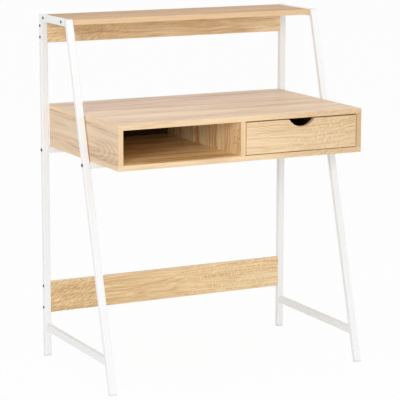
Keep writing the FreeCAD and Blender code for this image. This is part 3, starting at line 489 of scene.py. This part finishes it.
# the flecks near the band's right end are spread wide into a soft painted shade that darkens it towards the
# right
oakBand = oakFinish("oakBand", "x", (250, 225, 188), (244, 215, 174), (192, 154, 106), {
    **bandFigure,
    "Fleck And Shade Place": (0.4, -0.24, 0.7), "Fleck And Shade Reach": 0.4, "Fleck And Shade Spread": 0.5, "Flecks And Shade": 0.95})
oakBandShelf = oakFinish("oakBandShelf", "x", (235, 205, 166), (228, 196, 153), (206, 168, 121), bandFigure)
oakBandUpright = oakFinish(
    "oakBandUpright", "z", (246, 218, 180), (239, 207, 166), (216, 179, 132), bandFigure)
# painted shade: a darker copy of the upright band, for the edges of the right side panel
oakBandPaintedShade = oakFinish("oakBandPaintedShade", "z", (222, 190, 146), (214, 180, 136), (193, 154, 106), bandFigure)
oakBandDeep = oakFinish("oakBandDeep", "y", (243, 216, 184), (236, 207, 174), (210, 172, 134), bandFigure)


# Coats, metals, plastics and raw board

coatStart = {"Place": (0, 0, 0), "Peel Size": 900.0, "Clouding": 0.03, "Roughness": 0.4}
coatCloud = {"cells": (14, 14, 9), "rough": 0.08}


def buildCoatSkin():
    # the fine peel of a sprayed, moulded or plated skin, and a faint clouding of its shade
    tree, given, result = newGroup(
        "coatSkin", coatStart, {"Shade": "Float", "Roughness": "Float", "Height": "Float"})
    peel = noise(tree, given["Place"], detail=2, roughness=0.5, scale=given["Peel Size"])
    spread = mapped(tree, given["Place"], {"Scale": coatCloud["cells"]})
    cloud = noise(tree, spread, detail=3, roughness=0.55)
    tree.links.new(plus(tree, swing(tree, cloud, given["Clouding"]), 1.0), result["Shade"])
    rough = plus(tree, given["Roughness"], times(tree, cloud, coatCloud["rough"]))
    tree.links.new(rough, result["Roughness"])
    tree.links.new(peel, result["Height"])
    return tree


coatSkin = buildCoatSkin()


def coatFinish(name, colour, rough, peelSize, clouding, relief, metallic=0.0):
    finish, tree, shader = newFinish(name)
    skin = addNode(tree, "ShaderNodeGroup", {
        "Place": addNode(tree, "ShaderNodeTexCoord").outputs["Object"],
        "Peel Size": peelSize, "Clouding": clouding, "Roughness": rough}, node_tree=coatSkin)
    shaded = addNode(tree, "ShaderNodeVectorMath", {
        "Vector": paint(*colour)[:3], "Scale": skin.outputs["Shade"]}, operation="SCALE")
    wireSkin(tree, shader, shaded.outputs[0], skin, relief)
    shader.inputs["Metallic"].default_value = metallic
    return finish


powderWhite = coatFinish(
    "powderWhite", (241, 242, 242), rough=0.42, peelSize=1100, clouding=0.02, relief=0.1)
capWhite = coatFinish("capWhite", (228, 228, 226), rough=0.5, peelSize=700, clouding=0.03, relief=0.15)
runnerWhite = coatFinish(
    "runnerWhite", (232, 232, 229), rough=0.32, peelSize=1300, clouding=0.04, relief=0.06)
rollerNylon = coatFinish(
    "rollerNylon", (226, 226, 220), rough=0.35, peelSize=500, clouding=0.05, relief=0.05)
darkZinc = coatFinish(
    "darkZinc", (98, 98, 102), rough=0.5, peelSize=1500, clouding=0.2, relief=0.12, metallic=0.3)
brightZinc = coatFinish(
    "brightZinc", (196, 197, 200), rough=0.28, peelSize=1500, clouding=0.15, relief=0.1, metallic=1.0)
rawChip = coatFinish("rawChip", (196, 164, 122), rough=0.85, peelSize=420, clouding=0.5, relief=0.6)
# dark brown hardboard; on the back panel its darkness is also painted shade for the deep back of the bay
rawHardboardAndPaintedShade = coatFinish(
    "rawHardboardAndPaintedShade", (72, 47, 27), rough=0.72, peelSize=260, clouding=0.35, relief=0.35)
print("finishes made:", len(bpy.data.materials))


# Side frames

legTube = {"corner": 0.002, "cornerSteps": 4, "wall": 0.0012, "openEnd": 0.03}


def legLine(side, end):
    # a leg's box, its front and rear at the foot, how far its top stands from them, and its way up
    node = f"{side}_{end}_leg"
    low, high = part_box(node)
    front, rear = spanAt(node, low.z)
    shift = spanAt(node, high.z)[0] - front
    return low, high, front, rear, shift, Vector((0, shift / (high.z - low.z), 1))


def makeLeg(side, end):
    low, high, front, rear, shift, lean = legLine(side, end)
    piece = addLeaning(
        f"{side}{end.title()}LegTube", Vector((low.x, front, low.z)), Vector((high.x, rear, high.z)), shift)
    roundAlong(piece, "z", legTube)
    for level, way in ((low.z, 1), (high.z, -1)):
        pickFaces(piece, lambda face: isLevel(face, level))
        bpy.ops.mesh.inset(thickness=legTube["wall"])
        drawOut(lean * legTube["openEnd"] * way)
        stopEdit()
    dress(piece, powderWhite)
    settle(piece, "desk", "white_steel", f"{side}_{end}_leg")


sideBar = {"corner": 0.002, "cornerSteps": 4}
weldBead = {
    "size": 0.0016, "round": 0.9, "roundSteps": 3, "cuts": 3, "ripple": 0.00025, "seed": 5, "smooth": 70,
    "inside": 0.7, "rippled": (0.2, 0.95),  # how far the normals of those faces go along the bar
}


def makeSideBar(side, bar):
    node = f"{side}_{bar}"
    low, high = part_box(node)
    frontLow = spanAt(node, low.z)[0]
    frontHigh = spanAt(node, high.z)[0]
    name = side + bar.title().replace("_", "")
    piece = addBlock(f"{name}Tube", Vector((low.x, frontLow, low.z)), high)
    # the front end leans with the front leg
    frontEdge = Vector((frontLow, high.z))
    pickEdges(piece, lambda edge: runsAlong(edge, "x") and (edgeMiddle(edge).yz - frontEdge).length < tiny)
    bpy.ops.transform.translate(value=(0, frontHigh - frontLow, 0))
    roundAlong(piece, "y", sideBar)
    dress(piece, powderWhite)
    settle(piece, "desk", "white_steel", node)
    # weld beads round both ends; a top bar is flush with the legs on its other three sides
    grow = weldBead["size"]
    outer = Vector((grow, 0, grow))
    lowGrow = low - outer
    highGrow = high + outer
    if bar == "top_bar":
        lowGrow.x = low.x
        highGrow = high
    lean = (frontHigh - frontLow) / (high.z - low.z)
    frontGrow = frontLow + lean * (lowGrow.z - low.z)
    ends = {"Rear": (high.y - grow, high.y, 0, -1), "Front": (frontGrow, frontGrow + grow, lean, 1)}
    for end, (near, far, slope, inward) in ends.items():
        bead = addLeaning(
            f"{name}{end}Weld", Vector((lowGrow.x, near, lowGrow.z)), Vector((highGrow.x, far, highGrow.z)),
            slope * (highGrow.z - lowGrow.z))
        pickEdges(bead, lambda edge: sum(
            face.normal.y * inward > weldBead["inside"] for face in edge.link_faces) == 1)
        bpy.ops.mesh.bevel(
            offset=grow * weldBead["round"], segments=weldBead["roundSteps"], profile=0.5, affect="EDGES")
        bpy.ops.mesh.select_all(action="SELECT")
        bpy.ops.mesh.subdivide(number_cuts=weldBead["cuts"])
        stopEdit()
        least, most = weldBead["rippled"]
        pickFaces(bead, lambda face: least < face.normal.y * inward < most)
        bpy.ops.transform.vertex_random(offset=weldBead["ripple"], seed=weldBead["seed"])
        stopEdit()
        dress(bead, powderWhite, weldBead["smooth"])
        settle(bead, "desk", "white_steel")


plugShape = {"play": 0.0001, "footChamfer": 0.0007, "capCrown": 0.0009}


def makePlug(side, end, kind):
    # a foot below the tube or a cap above it: a rim as wide as the tube, and a tongue in its bore
    legLow, legHigh, footFront, footRear, _, lean = legLine(side, end)
    if kind == "Foot":
        node = f"{side}_{end}_foot"
        bottom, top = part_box(node)[0].z, legLow.z
        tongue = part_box(node)[1].z - legLow.z
        outside, joint, rounding = bottom, top, plugShape["footChamfer"]
    else:
        node = "leg_top_caps"
        bottom, top = legHigh.z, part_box(node)[1].z
        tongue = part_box(node)[0].z - legHigh.z
        outside, joint, rounding = top, bottom, plugShape["capCrown"]
    slide = lean.y * (bottom - legLow.z)
    piece = addLeaning(
        f"{side}{end.title()}{kind}", Vector((legLow.x, footFront + slide, bottom)),
        Vector((legHigh.x, footRear + slide, top)), lean.y * (top - bottom))
    roundAlong(piece, "z", legTube)
    roundEdges(piece, lambda edge: abs(edgeMiddle(edge).z - outside) < tiny, rounding)
    pickFaces(piece, lambda face: isLevel(face, joint))
    bpy.ops.mesh.inset(thickness=legTube["wall"] + plugShape["play"])
    drawOut(lean * tongue)
    stopEdit()
    dress(piece, capWhite)
    settle(piece, "desk", "white_plastic", node)


for side in sides:
    for end in ("rear", "front"):
        makeLeg(side, end)
        makePlug(side, end, "Foot")
        makePlug(side, end, "Cap")
    makeSideBar(side, "top_bar")
    makeSideBar(side, "stretcher")
print("side frames made")


# Cross bars and the tabs on the rear one

crossBar = {"corner": 0.002, "cornerSteps": 4, "wall": 0.0012}
tabShape = {"corner": 0.006, "cornerSteps": 5, "edge": 0.0004, "edgeSteps": 2}

for end in ("front", "rear"):
    node = f"{end}_cross_bar"
    piece = addBlock(f"{end}CrossBarTube", *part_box(node))
    roundAlong(piece, "x", crossBar)
    pickFaces(piece, lambda face: looks(face, "left") or looks(face, "right"))
    bpy.ops.mesh.inset(thickness=crossBar["wall"], use_individual=True)
    stopEdit()
    dress(piece, powderWhite)
    settle(piece, "desk", "white_steel", node)

# each tab is centred on its screw, whose head is as wide as a shelf screw's
tabLow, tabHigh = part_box("rear_bar_tabs")
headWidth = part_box("shelf_screws")[1].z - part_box("shelf_screws")[0].z
tabWidth = 2 * (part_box("body_screws")[0].x - tabLow.x) + headWidth
for side, x in (("left", tabLow.x), ("right", tabHigh.x - tabWidth)):
    tab = addBlock(
        f"{side}RearTab", Vector((x, tabLow.y, tabLow.z)), Vector((x + tabWidth, tabHigh.y, tabHigh.z)))
    roundEdges(
        tab, lambda edge: runsAlong(edge, "z") and abs(edgeMiddle(edge).y - tabLow.y) < tiny,
        tabShape["corner"], tabShape["cornerSteps"])
    roundEdges(tab, isSharp, tabShape["edge"], tabShape["edgeSteps"])
    dress(tab, powderWhite)
    settle(tab, "desk", "white_steel", "rear_bar_tabs")
print("cross bars made")


# Screws, bolts and cam locks: each is turned once and copied to its places

turnedAngle = 35  # degrees between the faces of a turned piece that meet at a corner
spinStep = 0.83  # radians from one copy to the next


def turnOnLathe(name, rings, facets=28):
    # rings are (radius, height) from one end to the other
    clearPick()
    radius, height = rings[0]
    bpy.ops.mesh.primitive_circle_add(
        vertices=facets, radius=radius, location=(0, 0, height), fill_type="NGON")
    piece = nameNew(name)
    bpy.ops.object.mode_set(mode="EDIT")
    bpy.ops.mesh.select_mode(type="FACE")
    bpy.ops.mesh.select_all(action="SELECT")
    for nextRadius, nextHeight in rings[1:]:
        drawOut((0, 0, nextHeight - height))
        share = nextRadius / radius
        bpy.ops.transform.resize(value=(share, share, 1), center_override=(0, 0, nextHeight))
        radius, height = nextRadius, nextHeight
    bpy.ops.mesh.select_all(action="SELECT")
    bpy.ops.mesh.normals_make_consistent(inside=False)
    stopEdit()
    return piece


def setCopies(master, name, spots, body, slot, node):
    # a copy for each (place, way out), each turned a little differently about its own axis
    copies = []
    for number, (spot, out) in enumerate(spots):
        takeUp(master)
        bpy.ops.object.duplicate()
        copy = bpy.context.object
        tilt = ways["over"].rotation_difference(out).to_matrix().to_4x4()
        copy.matrix_world = Matrix.Translation(spot) @ tilt @ Matrix.Rotation(number * spinStep, 4, "Z")
        bpy.ops.object.transform_apply(location=True, rotation=True, scale=True)
        copies.append(copy)
    bpy.data.objects.remove(master)
    settle(joinUp(name, copies), body, slot, node)


screwHead = {"radius": 0.00425, "rise": 0.0025, "socket": 0.003, "shank": 0.002}
boltHead = {"radius": 0.005, "rise": 0.003, "socket": 0.004, "shank": 0.003}
sunkHead = {"radius": 0.0045, "rise": 0.004, "socket": 0.004, "shank": 0.003}
# shares of a head's radius and rise, of the shank for its tip, and the angles of the dome's rings
domeShape = {"seat": 0.97, "edge": 0.1, "rim": 0.28, "turns": (0, 0.32, 0.62, 0.88, 1.08),
             "socketDepth": 0.6, "tip": 0.5}


def buttonScrew(head, length, finish):
    # a domed head with a hexagon socket; its seat is at zero and the shank runs down from there
    radius, rise, shank, rim = head["radius"], head["rise"], head["shank"], domeShape["rim"]
    rings = [
        (shank * domeShape["tip"], -length), (shank, shank - length), (shank, 0),
        (radius * domeShape["seat"], 0), (radius, rise * domeShape["edge"])]
    for turn in domeShape["turns"]:
        rings.append((radius * math.cos(turn), rise * (rim + (1 - rim) * math.sin(turn))))
    piece = turnOnLathe("buttonScrew", rings)
    piece.data.materials.append(finish)
    socketCut = addRod(
        "socketCut", Vector((0, 0, rise)), ways["over"], head["socket"] / math.sqrt(3),
        2 * rise * domeShape["socketDepth"], facets=6)
    carve(piece, socketCut, finish)
    smoothOff(piece, turnedAngle)
    return piece


def screwRow(name, node, faces, head, along, length, finish=darkZinc, body="desk", slot="dark_steel"):
    # two screws in the left face and two in the right, one radius in from the ends of the node's box
    low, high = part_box(node)
    spots = []
    for seat, way in zip(faces, sides):
        for level in (getattr(low, along) + head["radius"], getattr(high, along) - head["radius"]):
            spot = (low + high) / 2
            spot.x = seat
            setattr(spot, along, level)
            spots.append((spot, ways[way]))
    setCopies(buttonScrew(head, length, finish), name, spots, body, slot, node)


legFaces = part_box("left_rear_leg")[0].x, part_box("right_rear_leg")[1].x
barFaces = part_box("left_top_bar")[0].x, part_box("right_top_bar")[1].x
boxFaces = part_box("drawer_left_side")[0].x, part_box("drawer_right_side")[1].x
screwRow("shelfScrews", "shelf_screws", barFaces, screwHead, along="y", length=0.04)
screwRow("upperRailScrews", "upper_rail_screws", legFaces, screwHead, along="z", length=0.045)
screwRow("lowerRailScrews", "lower_rail_screws", legFaces, screwHead, along="z", length=0.045)
screwRow("crossBarBolts", "cross_bar_bolts", legFaces, boltHead, along="y", length=0.035)
screwRow("drawerBackScrews", "drawer_back_screws", boxFaces, screwHead, along="z", length=0.035,
         finish=brightZinc, body="drawer", slot="zinc_steel")

low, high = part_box("body_screws")
inset = screwHead["radius"]
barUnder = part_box("front_cross_bar")[0].z
spots = []
for y, under in ((low.y + inset, barUnder), (high.y - inset, tabLow.z)):
    spots += [(Vector((x, y, under)), ways["under"]) for x in (low.x + inset, high.x - inset)]
setCopies(buttonScrew(screwHead, length=0.015, finish=darkZinc), "bodyScrews", spots,
          "desk", "dark_steel", "body_screws")

low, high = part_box("carcass_screws")
inset = sunkHead["radius"]
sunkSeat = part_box("bottom_panel")[0].z + sunkHead["rise"]
carcassXs = (low.x + inset, (low.x + high.x) / 2, high.x - inset)
carcassYs = (low.y + inset, high.y - inset)
sunkSpots = [Vector((x, y, sunkSeat)) for x, y in itertools.product(carcassXs, carcassYs)]
setCopies(buttonScrew(sunkHead, length=0.045, finish=brightZinc), "carcassScrews",
          [(spot, ways["under"]) for spot in sunkSpots], "desk", "zinc_steel", "carcass_screws")

# shares of the lock's radius, and of its rim for the slope, then lengths
camShape = {"foot": 0.1, "rim": 0.16, "slope": 1.3, "slotLength": 1.25, "slotWidth": 0.24,
            "edge": 0.0004, "dish": 0.0007, "slotDepth": 0.002, "facets": 36}


def camLock(radius, depth):
    # a die-cast disc with a raised rim and a cross slot, its face at zero
    foot, rim, edge, dish = camShape["foot"], radius * camShape["rim"], camShape["edge"], camShape["dish"]
    piece = turnOnLathe("camLock", [
        (radius * (1 - foot), -depth), (radius, radius * foot - depth), (radius, -edge), (radius - edge, 0),
        (radius - rim, 0), (radius - rim * camShape["slope"], -dish), (radius * foot, -dish)],
        camShape["facets"])
    piece.data.materials.append(brightZinc)
    for shares in itertools.permutations((camShape["slotLength"], camShape["slotWidth"])):
        half = Vector((radius * shares[0] / 2, radius * shares[1] / 2, camShape["slotDepth"]))
        carve(piece, addBlock("slotCut", -half, half), brightZinc)
    smoothOff(piece, turnedAngle)
    return piece


def camSpots(node, faces):
    # a lock at each end of the node's box along Y, or one where the box is no longer than a lock
    low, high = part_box(node)
    radius = (high.z - low.z) / 2
    ys = sorted({round(low.y + radius, 6), round(high.y - radius, 6)})
    return radius, [(Vector((x, y, (low.z + high.z) / 2)), out) for x, out in faces for y in ys]


camFaces = [
    (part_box("left_side_panel")[1].x, ways["right"]),
    (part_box("divider")[1].x, ways["right"]),
    (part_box("right_side_panel")[0].x, ways["left"]),
]
camRadius, camPlaces = camSpots("cam_locks", camFaces)
camDepth = camFaces[0][0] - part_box("cam_locks")[0].x
setCopies(camLock(camRadius, camDepth), "camLocks", camPlaces, "desk", "zinc_steel", "cam_locks")
miniFaces = [
    (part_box("drawer_left_side")[1].x, ways["right"]),
    (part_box("drawer_right_side")[0].x, ways["left"]),
]
miniRadius, miniPlaces = camSpots("drawer_cam_locks", miniFaces)
miniDepth = miniFaces[0][0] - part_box("drawer_cam_locks")[0].x
setCopies(camLock(miniRadius, miniDepth), "drawerCamLocks", miniPlaces,
          "drawer", "zinc_steel", "drawer_cam_locks")
print("screws, bolts and cam locks made")


# Boards: a block with rounded edges, banded on the sides that show

seatPlay = 0.00015
groovePlay = Vector((0.0002, 0.0002, 0.0002))
bandFrom = 0.3  # a band takes the faces whose normals go more than this far its way


def bandEdges(piece, finish, wayNames):
    slot = len(piece.data.materials)
    piece.data.materials.append(finish)
    for face in piece.data.polygons:
        if any(face.normal.dot(ways[way]) > bandFrom for way in wayNames):
            face.material_index = slot


def makeBoard(spec, cuts=()):
    piece = addBlock(spec["name"], *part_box(spec["node"]))
    roundEdges(piece, isSharp, spec["round"])
    piece.data.materials.append(spec["finish"])
    for finish, wayNames in spec["bands"]:
        bandEdges(piece, finish, wayNames)
    for cutter in cuts:
        carve(piece, cutter, rawChip)
    smoothOff(piece)
    settle(piece, spec["body"], spec["slot"], spec["node"])


def grooveFor(node):
    low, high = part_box(node)
    return addBlock("grooveCut", low - groovePlay, high + groovePlay)


def screwSeats():
    # blind holes from below for the heads of the carcass screws
    radius, depth = sunkHead["radius"] + seatPlay, sunkHead["rise"]
    middle = ways["over"] * depth / 2
    return [addRod("seatCut", spot - middle, ways["over"], radius, depth * 2) for spot in sunkSpots]


def camSeat(spot, out, radius, depth):
    return addRod("camSeat", spot, out, radius + seatPlay, 2 * depth, camShape["facets"])


def camSeats(face):
    return [camSeat(spot, out, camRadius, camDepth) for spot, out in camPlaces if abs(spot.x - face) < tiny]


oakBoard = {"body": "desk", "slot": "oak_board", "round": 0.0009}
sideBoard = {"body": "desk", "slot": "oak_board", "round": 0.0006}
boxBoard = {"body": "drawer", "slot": "drawer_board", "round": 0.0006}
hardboard = {"slot": "hardboard", "round": 0.0003, "finish": rawHardboardAndPaintedShade, "bands": []}
topShelf = {
    **oakBoard, "name": "topShelfBoard", "node": "top_shelf", "finish": oakShelfPaintedShade,
    "bands": [(oakBandShelf, ["front", "rear"])],
}
upperRail = {
    **oakBoard, "name": "upperRailBoard", "node": "upper_back_rail", "finish": oakRailPaintedLightAndShade,
    "bands": [(oakBand, ["under", "over"])],
}
lowerRail = {
    **oakBoard, "name": "lowerRailBoard", "node": "lower_back_rail", "finish": oakLowRail,
    "bands": [(oakBand, ["under", "over"])],
}
desktop = {
    **oakBoard, "name": "desktopBoard", "node": "desktop", "finish": oakTop,
    "bands": [(oakBandDeep, ["left", "right"]), (oakBand, ["front", "rear"])],
}
bottomPanel = {
    **oakBoard, "name": "bottomBoard", "node": "bottom_panel", "finish": oakFloorPaintedLight,
    "bands": [(oakBandDeep, ["left", "right"]), (oakBand, ["front", "rear"]), (oakTop, ["under"])],
}
leftSide = {
    **sideBoard, "name": "leftSideBoard", "node": "left_side_panel", "finish": oakSide,
    "bands": [(oakBandUpright, ["front", "rear"])],
}
rightSide = {
    **sideBoard, "name": "rightSideBoard", "node": "right_side_panel", "finish": oakStraight,
    "bands": [(oakBandPaintedShade, ["front", "rear"])],
}
divider = {
    **sideBoard, "name": "dividerBoard", "node": "divider", "finish": oakUprightPaintedLight,
    "bands": [(oakBandUpright, ["front"])],
}
# the back panel's dark finish is painted shade for the deep back of the bay
hardBack = {**hardboard, "name": "backHardboard", "node": "back_panel", "body": "desk"}
leftCams, dividerCams, rightCams = [face for face, out in camFaces]
makeBoard(topShelf)
makeBoard(upperRail)
makeBoard(lowerRail)
makeBoard(desktop, [grooveFor("back_panel")])
makeBoard(bottomPanel, [grooveFor("back_panel")] + screwSeats())
makeBoard(leftSide, [grooveFor("back_panel")] + camSeats(leftCams))
makeBoard(rightSide, [grooveFor("back_panel")] + camSeats(rightCams))
makeBoard(divider, camSeats(dividerCams))
makeBoard(hardBack)
print("desk boards made")


# Drawer

drawerFront = {
    "name": "drawerFrontBoard", "node": "drawer_front", "body": "drawer", "slot": "oak_board",
    "round": 0.0009, "cutRound": 0.0012, "fingerWidth": 0.081, "fingerDepth": 0.0215,
    "cutFacets": 128, "cutPlay": 0.0002,  # an edge this close to the cut's round is on it
    "finish": oakDrawer, "band": oakBand, "bandBelow": 0.95,  # faces that look less along Y are banded
}


def makeDrawerFront(spec):
    low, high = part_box(spec["node"])
    piece = addBlock(spec["name"], low, high)
    piece.data.materials.append(spec["finish"])
    width, depth = spec["fingerWidth"], spec["fingerDepth"]
    radius = (width ** 2 / 4 + depth ** 2) / (2 * depth)
    centre = (low + high) / 2
    centre.z = high.z - depth + radius
    fingerCut = addRod("fingerCut", centre, ways["rear"], radius, 3 * (high.y - low.y), spec["cutFacets"])
    carve(piece, fingerCut, spec["band"])

    def onCut(edge):
        return abs((edgeMiddle(edge).xz - centre.xz).length - radius) < spec["cutPlay"]

    roundEdges(piece, lambda edge: isSharp(edge) and not onCut(edge), spec["round"])
    roundEdges(
        piece, lambda edge: isSharp(edge) and onCut(edge) and not runsAlong(edge, "y"), spec["cutRound"])
    pickFaces(piece, lambda face: True)
    bpy.ops.mesh.remove_doubles(threshold=tiny)  # the two roundings meet at the cut's ends
    stopEdit()
    for face in piece.data.polygons:
        if abs(face.normal.y) < spec["bandBelow"]:
            face.material_index = 1
    smoothOff(piece)
    settle(piece, spec["body"], spec["slot"], spec["node"])


makeDrawerFront(drawerFront)
for side, (spot, out) in zip(sides, miniPlaces):
    boxSide = {
        **boxBoard, "name": f"drawer{side.title()}Board", "node": f"drawer_{side}_side",
        "finish": oakStraight, "bands": [(oakBandDeep, ["over"])],
    }
    makeBoard(boxSide, [grooveFor("drawer_bottom"), camSeat(spot, out, miniRadius, miniDepth)])
drawerBack = {
    **boxBoard, "name": "drawerBackBoard", "node": "drawer_back", "finish": oakRailPaintedLightAndShade,
    "bands": [(oakBand, ["over"])],
}
makeBoard(drawerBack)
drawerFloor = {**hardboard, "name": "drawerFloorHardboard", "node": "drawer_bottom", "body": "drawer"}
makeBoard(drawerFloor)
print("drawer made")


# Runners and rollers

runnerStrip = {"wall": 0.0012, "edge": 0.0003, "edgeSteps": 2, "screwRadius": 0.0035}


def foldStrip(name, node, web, folds, screws):
    # a web with its strips drawn out: each fold is (low height, high height, way, length)
    low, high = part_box(node)
    piece = addBlock(name, Vector((web[0], low.y, low.z)), Vector((web[1], high.y, high.z)))
    for level in sorted({height for fold in folds for height in fold[:2]}):
        if low.z + tiny < level < high.z - tiny:
            pickFaces(piece, lambda face: True)
            bpy.ops.mesh.bisect(plane_co=(0, 0, level), plane_no=(0, 0, 1))
            stopEdit()
    for bottom, top, way, length in folds:
        pickFaces(piece, lambda face: looks(face, way)
                  and bottom - tiny < face.calc_center_median().z < top + tiny
                  and min(abs(face.calc_center_median().x - edge) for edge in web) < tiny)
        drawOut(ways[way] * length)
        stopEdit()
    roundEdges(piece, isSharp, runnerStrip["edge"], runnerStrip["edgeSteps"])
    piece.data.materials.append(runnerWhite)
    # round seats for the flush screws
    screwLow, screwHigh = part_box(screws)
    radius = runnerStrip["screwRadius"]
    for y in (screwLow.y + radius, screwHigh.y - radius):
        middle = Vector((sum(web) / 2, y, screwLow.z + radius))
        screwSeat = addRod("screwSeat", middle, ways["right"], radius + seatPlay, 2 * runnerStrip["wall"])
        carve(piece, screwSeat, runnerWhite)
    smoothOff(piece)
    return piece


def makeRunners(side, sign):
    wall = runnerStrip["wall"]
    cabinetLow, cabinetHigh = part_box(f"{side}_cabinet_runner")
    drawerLow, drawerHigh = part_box(f"{side}_drawer_runner")
    upperStrip = cabinetHigh.z - wall, cabinetHigh.z
    if side == "left":
        inward, outward, panelFace, boxFace = "right", "left", cabinetLow.x, boxFaces[0]
        tuck, track = drawerHigh.x - boxFace, boxFace - wall - drawerLow.x
    else:
        inward, outward, panelFace, boxFace = "left", "right", cabinetHigh.x, boxFaces[1]
        tuck, track = boxFace - drawerLow.x, drawerHigh.x - (boxFace + wall)
    flange = cabinetHigh.x - cabinetLow.x - wall
    channel = foldStrip(
        f"{side}CabinetRunner", f"{side}_cabinet_runner", sorted((panelFace, panelFace - sign * wall)),
        [(cabinetLow.z, cabinetLow.z + wall, inward, flange), (*upperStrip, inward, flange)],
        "cabinet_runner_screws")
    settle(channel, "desk", "runner_steel", f"{side}_cabinet_runner")
    strip = foldStrip(
        f"{side}DrawerRunner", f"{side}_drawer_runner", sorted((boxFace, boxFace + sign * wall)),
        [(drawerLow.z, drawerLow.z + wall, inward, tuck), (*upperStrip, outward, track)],
        "drawer_runner_screws")
    settle(strip, "drawer", "runner_steel", f"{side}_drawer_runner")


rollerShape = {"rim": 0.0005, "tread": 0.0016, "recess": 0.0004, "bore": 0.00205, "facets": 64}


def makeRoller(side, end):
    node = f"{side}_{end}_roller"
    low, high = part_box(node)
    centre = (low + high) / 2
    radius = (high.z - low.z) / 2
    piece = addRod(
        f"{side}{end.title()}Roller", centre, ways["right"], radius, high.x - low.x, rollerShape["facets"])
    roundEdges(piece, isSharp, rollerShape["rim"])
    disc = radius - rollerShape["rim"] - rollerShape["tread"] - rollerShape["bore"]

    def isEnd(face, way):
        return looks(face, way) and len(face.verts) == rollerShape["facets"]

    for way in sides:
        pickFaces(piece, lambda face: isEnd(face, way))
        bpy.ops.mesh.inset(thickness=rollerShape["tread"])
        drawOut(ways[way] * -rollerShape["recess"])
        bpy.ops.mesh.inset(thickness=disc)
        stopEdit()
    # the bore joins the two end faces
    pickFaces(piece, lambda face: any(isEnd(face, way) for way in sides))
    bpy.ops.mesh.bridge_edge_loops()
    stopEdit()
    dress(piece, rollerNylon)
    settle(piece, f"{side}_{end}_wheel", "nylon", node)


for side, sign in sides.items():
    makeRunners(side, sign)
for side in sides:
    for end in ("front", "rear"):
        makeRoller(side, end)
print("runners and rollers made")


# CAD nodes that stay as they are, with a finish

staying = {
    "bar_end_plates": brightZinc, "cam_bolts": brightZinc, "drawer_cam_bolts": brightZinc,
    "front_roller_pins": brightZinc, "rear_roller_pins": brightZinc, "cabinet_runner_screws": brightZinc,
    "drawer_runner_screws": brightZinc, "panel_dowels": rawBeech,
}
for node, finish in staying.items():
    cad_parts[node].data.materials.clear()
    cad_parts[node].data.materials.append(finish)
print("CAD nodes finished:", len(staying))


# Stage, light and camera

stage = {
    "floorSize": 60, "floorColour": (240, 240, 240), "floorRough": 0.9, "glow": 0.95, "skyLight": 0.6,
}


def seenRays(tree):
    # one for what is seen, also in a mirror or through glass, and nothing for what only lights the desk
    path = addNode(tree, "ShaderNodeLightPath").outputs
    seen = plus(tree, path["Is Camera Ray"], path["Is Glossy Ray"])
    return maths(tree, "ADD", seen, path["Is Transmission Ray"], clamp=True)


def makeFloor():
    clearPick()
    bpy.ops.mesh.primitive_plane_add(size=stage["floorSize"], location=(0, 0, -tiny))
    floor = bpy.context.object
    floor.name = "studioFloor"
    finish, tree, shader = newFinish("floorWhite")
    shader.inputs["Base Color"].default_value = paint(*stage["floorColour"])
    shader.inputs["Roughness"].default_value = stage["floorRough"]
    glow = addNode(tree, "ShaderNodeEmission", {"Color": white, "Strength": 1.0})
    share = times(tree, seenRays(tree), stage["glow"])
    blend = addNode(tree, "ShaderNodeMixShader", {"Fac": share, 1: shader.outputs[0], 2: glow.outputs[0]})
    tree.links.new(blend.outputs[0], tree.nodes["Material Output"].inputs["Surface"])
    floor.data.materials.append(finish)


def makeSky():
    sky = bpy.data.worlds.new("studioSky")
    bpy.context.scene.world = sky
    sky.use_nodes = True
    tree = sky.node_tree
    back = tree.nodes["Background"]
    back.inputs["Color"].default_value = white
    strength = addNode(tree, "ShaderNodeMapRange", {
        "Value": seenRays(tree), "To Min": stage["skyLight"], "To Max": 1.0})
    tree.links.new(strength.outputs["Result"], back.inputs["Strength"])


lamps = [
    {"name": "keySoftbox", "place": (-4.6, -5.1, 2.24), "aim": (0, 0, 0.65), "size": 2.6, "power": 176},
    {"name": "rightSoftbox", "place": (6.3, -2.4, 2.4), "aim": (0, 0, 0.65), "size": 3.6, "power": 100},
    {"name": "topSoftbox", "place": (-0.6, -0.6, 4.0), "aim": (0, -0.1, 0.75), "size": 2.5, "power": 22},
]


def makeLamps():
    for lamp in lamps:
        light = bpy.data.lights.new(lamp["name"], "AREA")
        light.shape = "DISK"
        light.size = lamp["size"]
        light.energy = lamp["power"]
        item = bpy.data.objects.new(lamp["name"], light)
        bpy.context.scene.collection.objects.link(item)
        item.location = lamp["place"]
        away = Vector(lamp["place"]) - Vector(lamp["aim"])
        item.rotation_euler = away.to_track_quat("Z", "Y").to_euler()


viewpoint = {
    "place": (-2.45835, -4.85154, 1.50373), "turn": (79.269, -0.0796, -26.7729),
    "lens": 172.758, "film": 36, "reach": 50,
}


def makeCamera():
    camera = bpy.data.cameras.new("viewpoint")
    camera.sensor_width = viewpoint["film"]
    camera.lens = viewpoint["lens"]
    camera.clip_end = viewpoint["reach"]
    item = bpy.data.objects.new("viewpoint", camera)
    bpy.context.scene.collection.objects.link(item)
    item.location = viewpoint["place"]
    item.rotation_euler = [math.radians(angle) for angle in viewpoint["turn"]]
    bpy.context.scene.camera = item


makeFloor()
makeSky()
makeLamps()
makeCamera()
bpy.context.scene.view_settings.view_transform = "Standard"
print("stage, light and camera made")

clearPick()
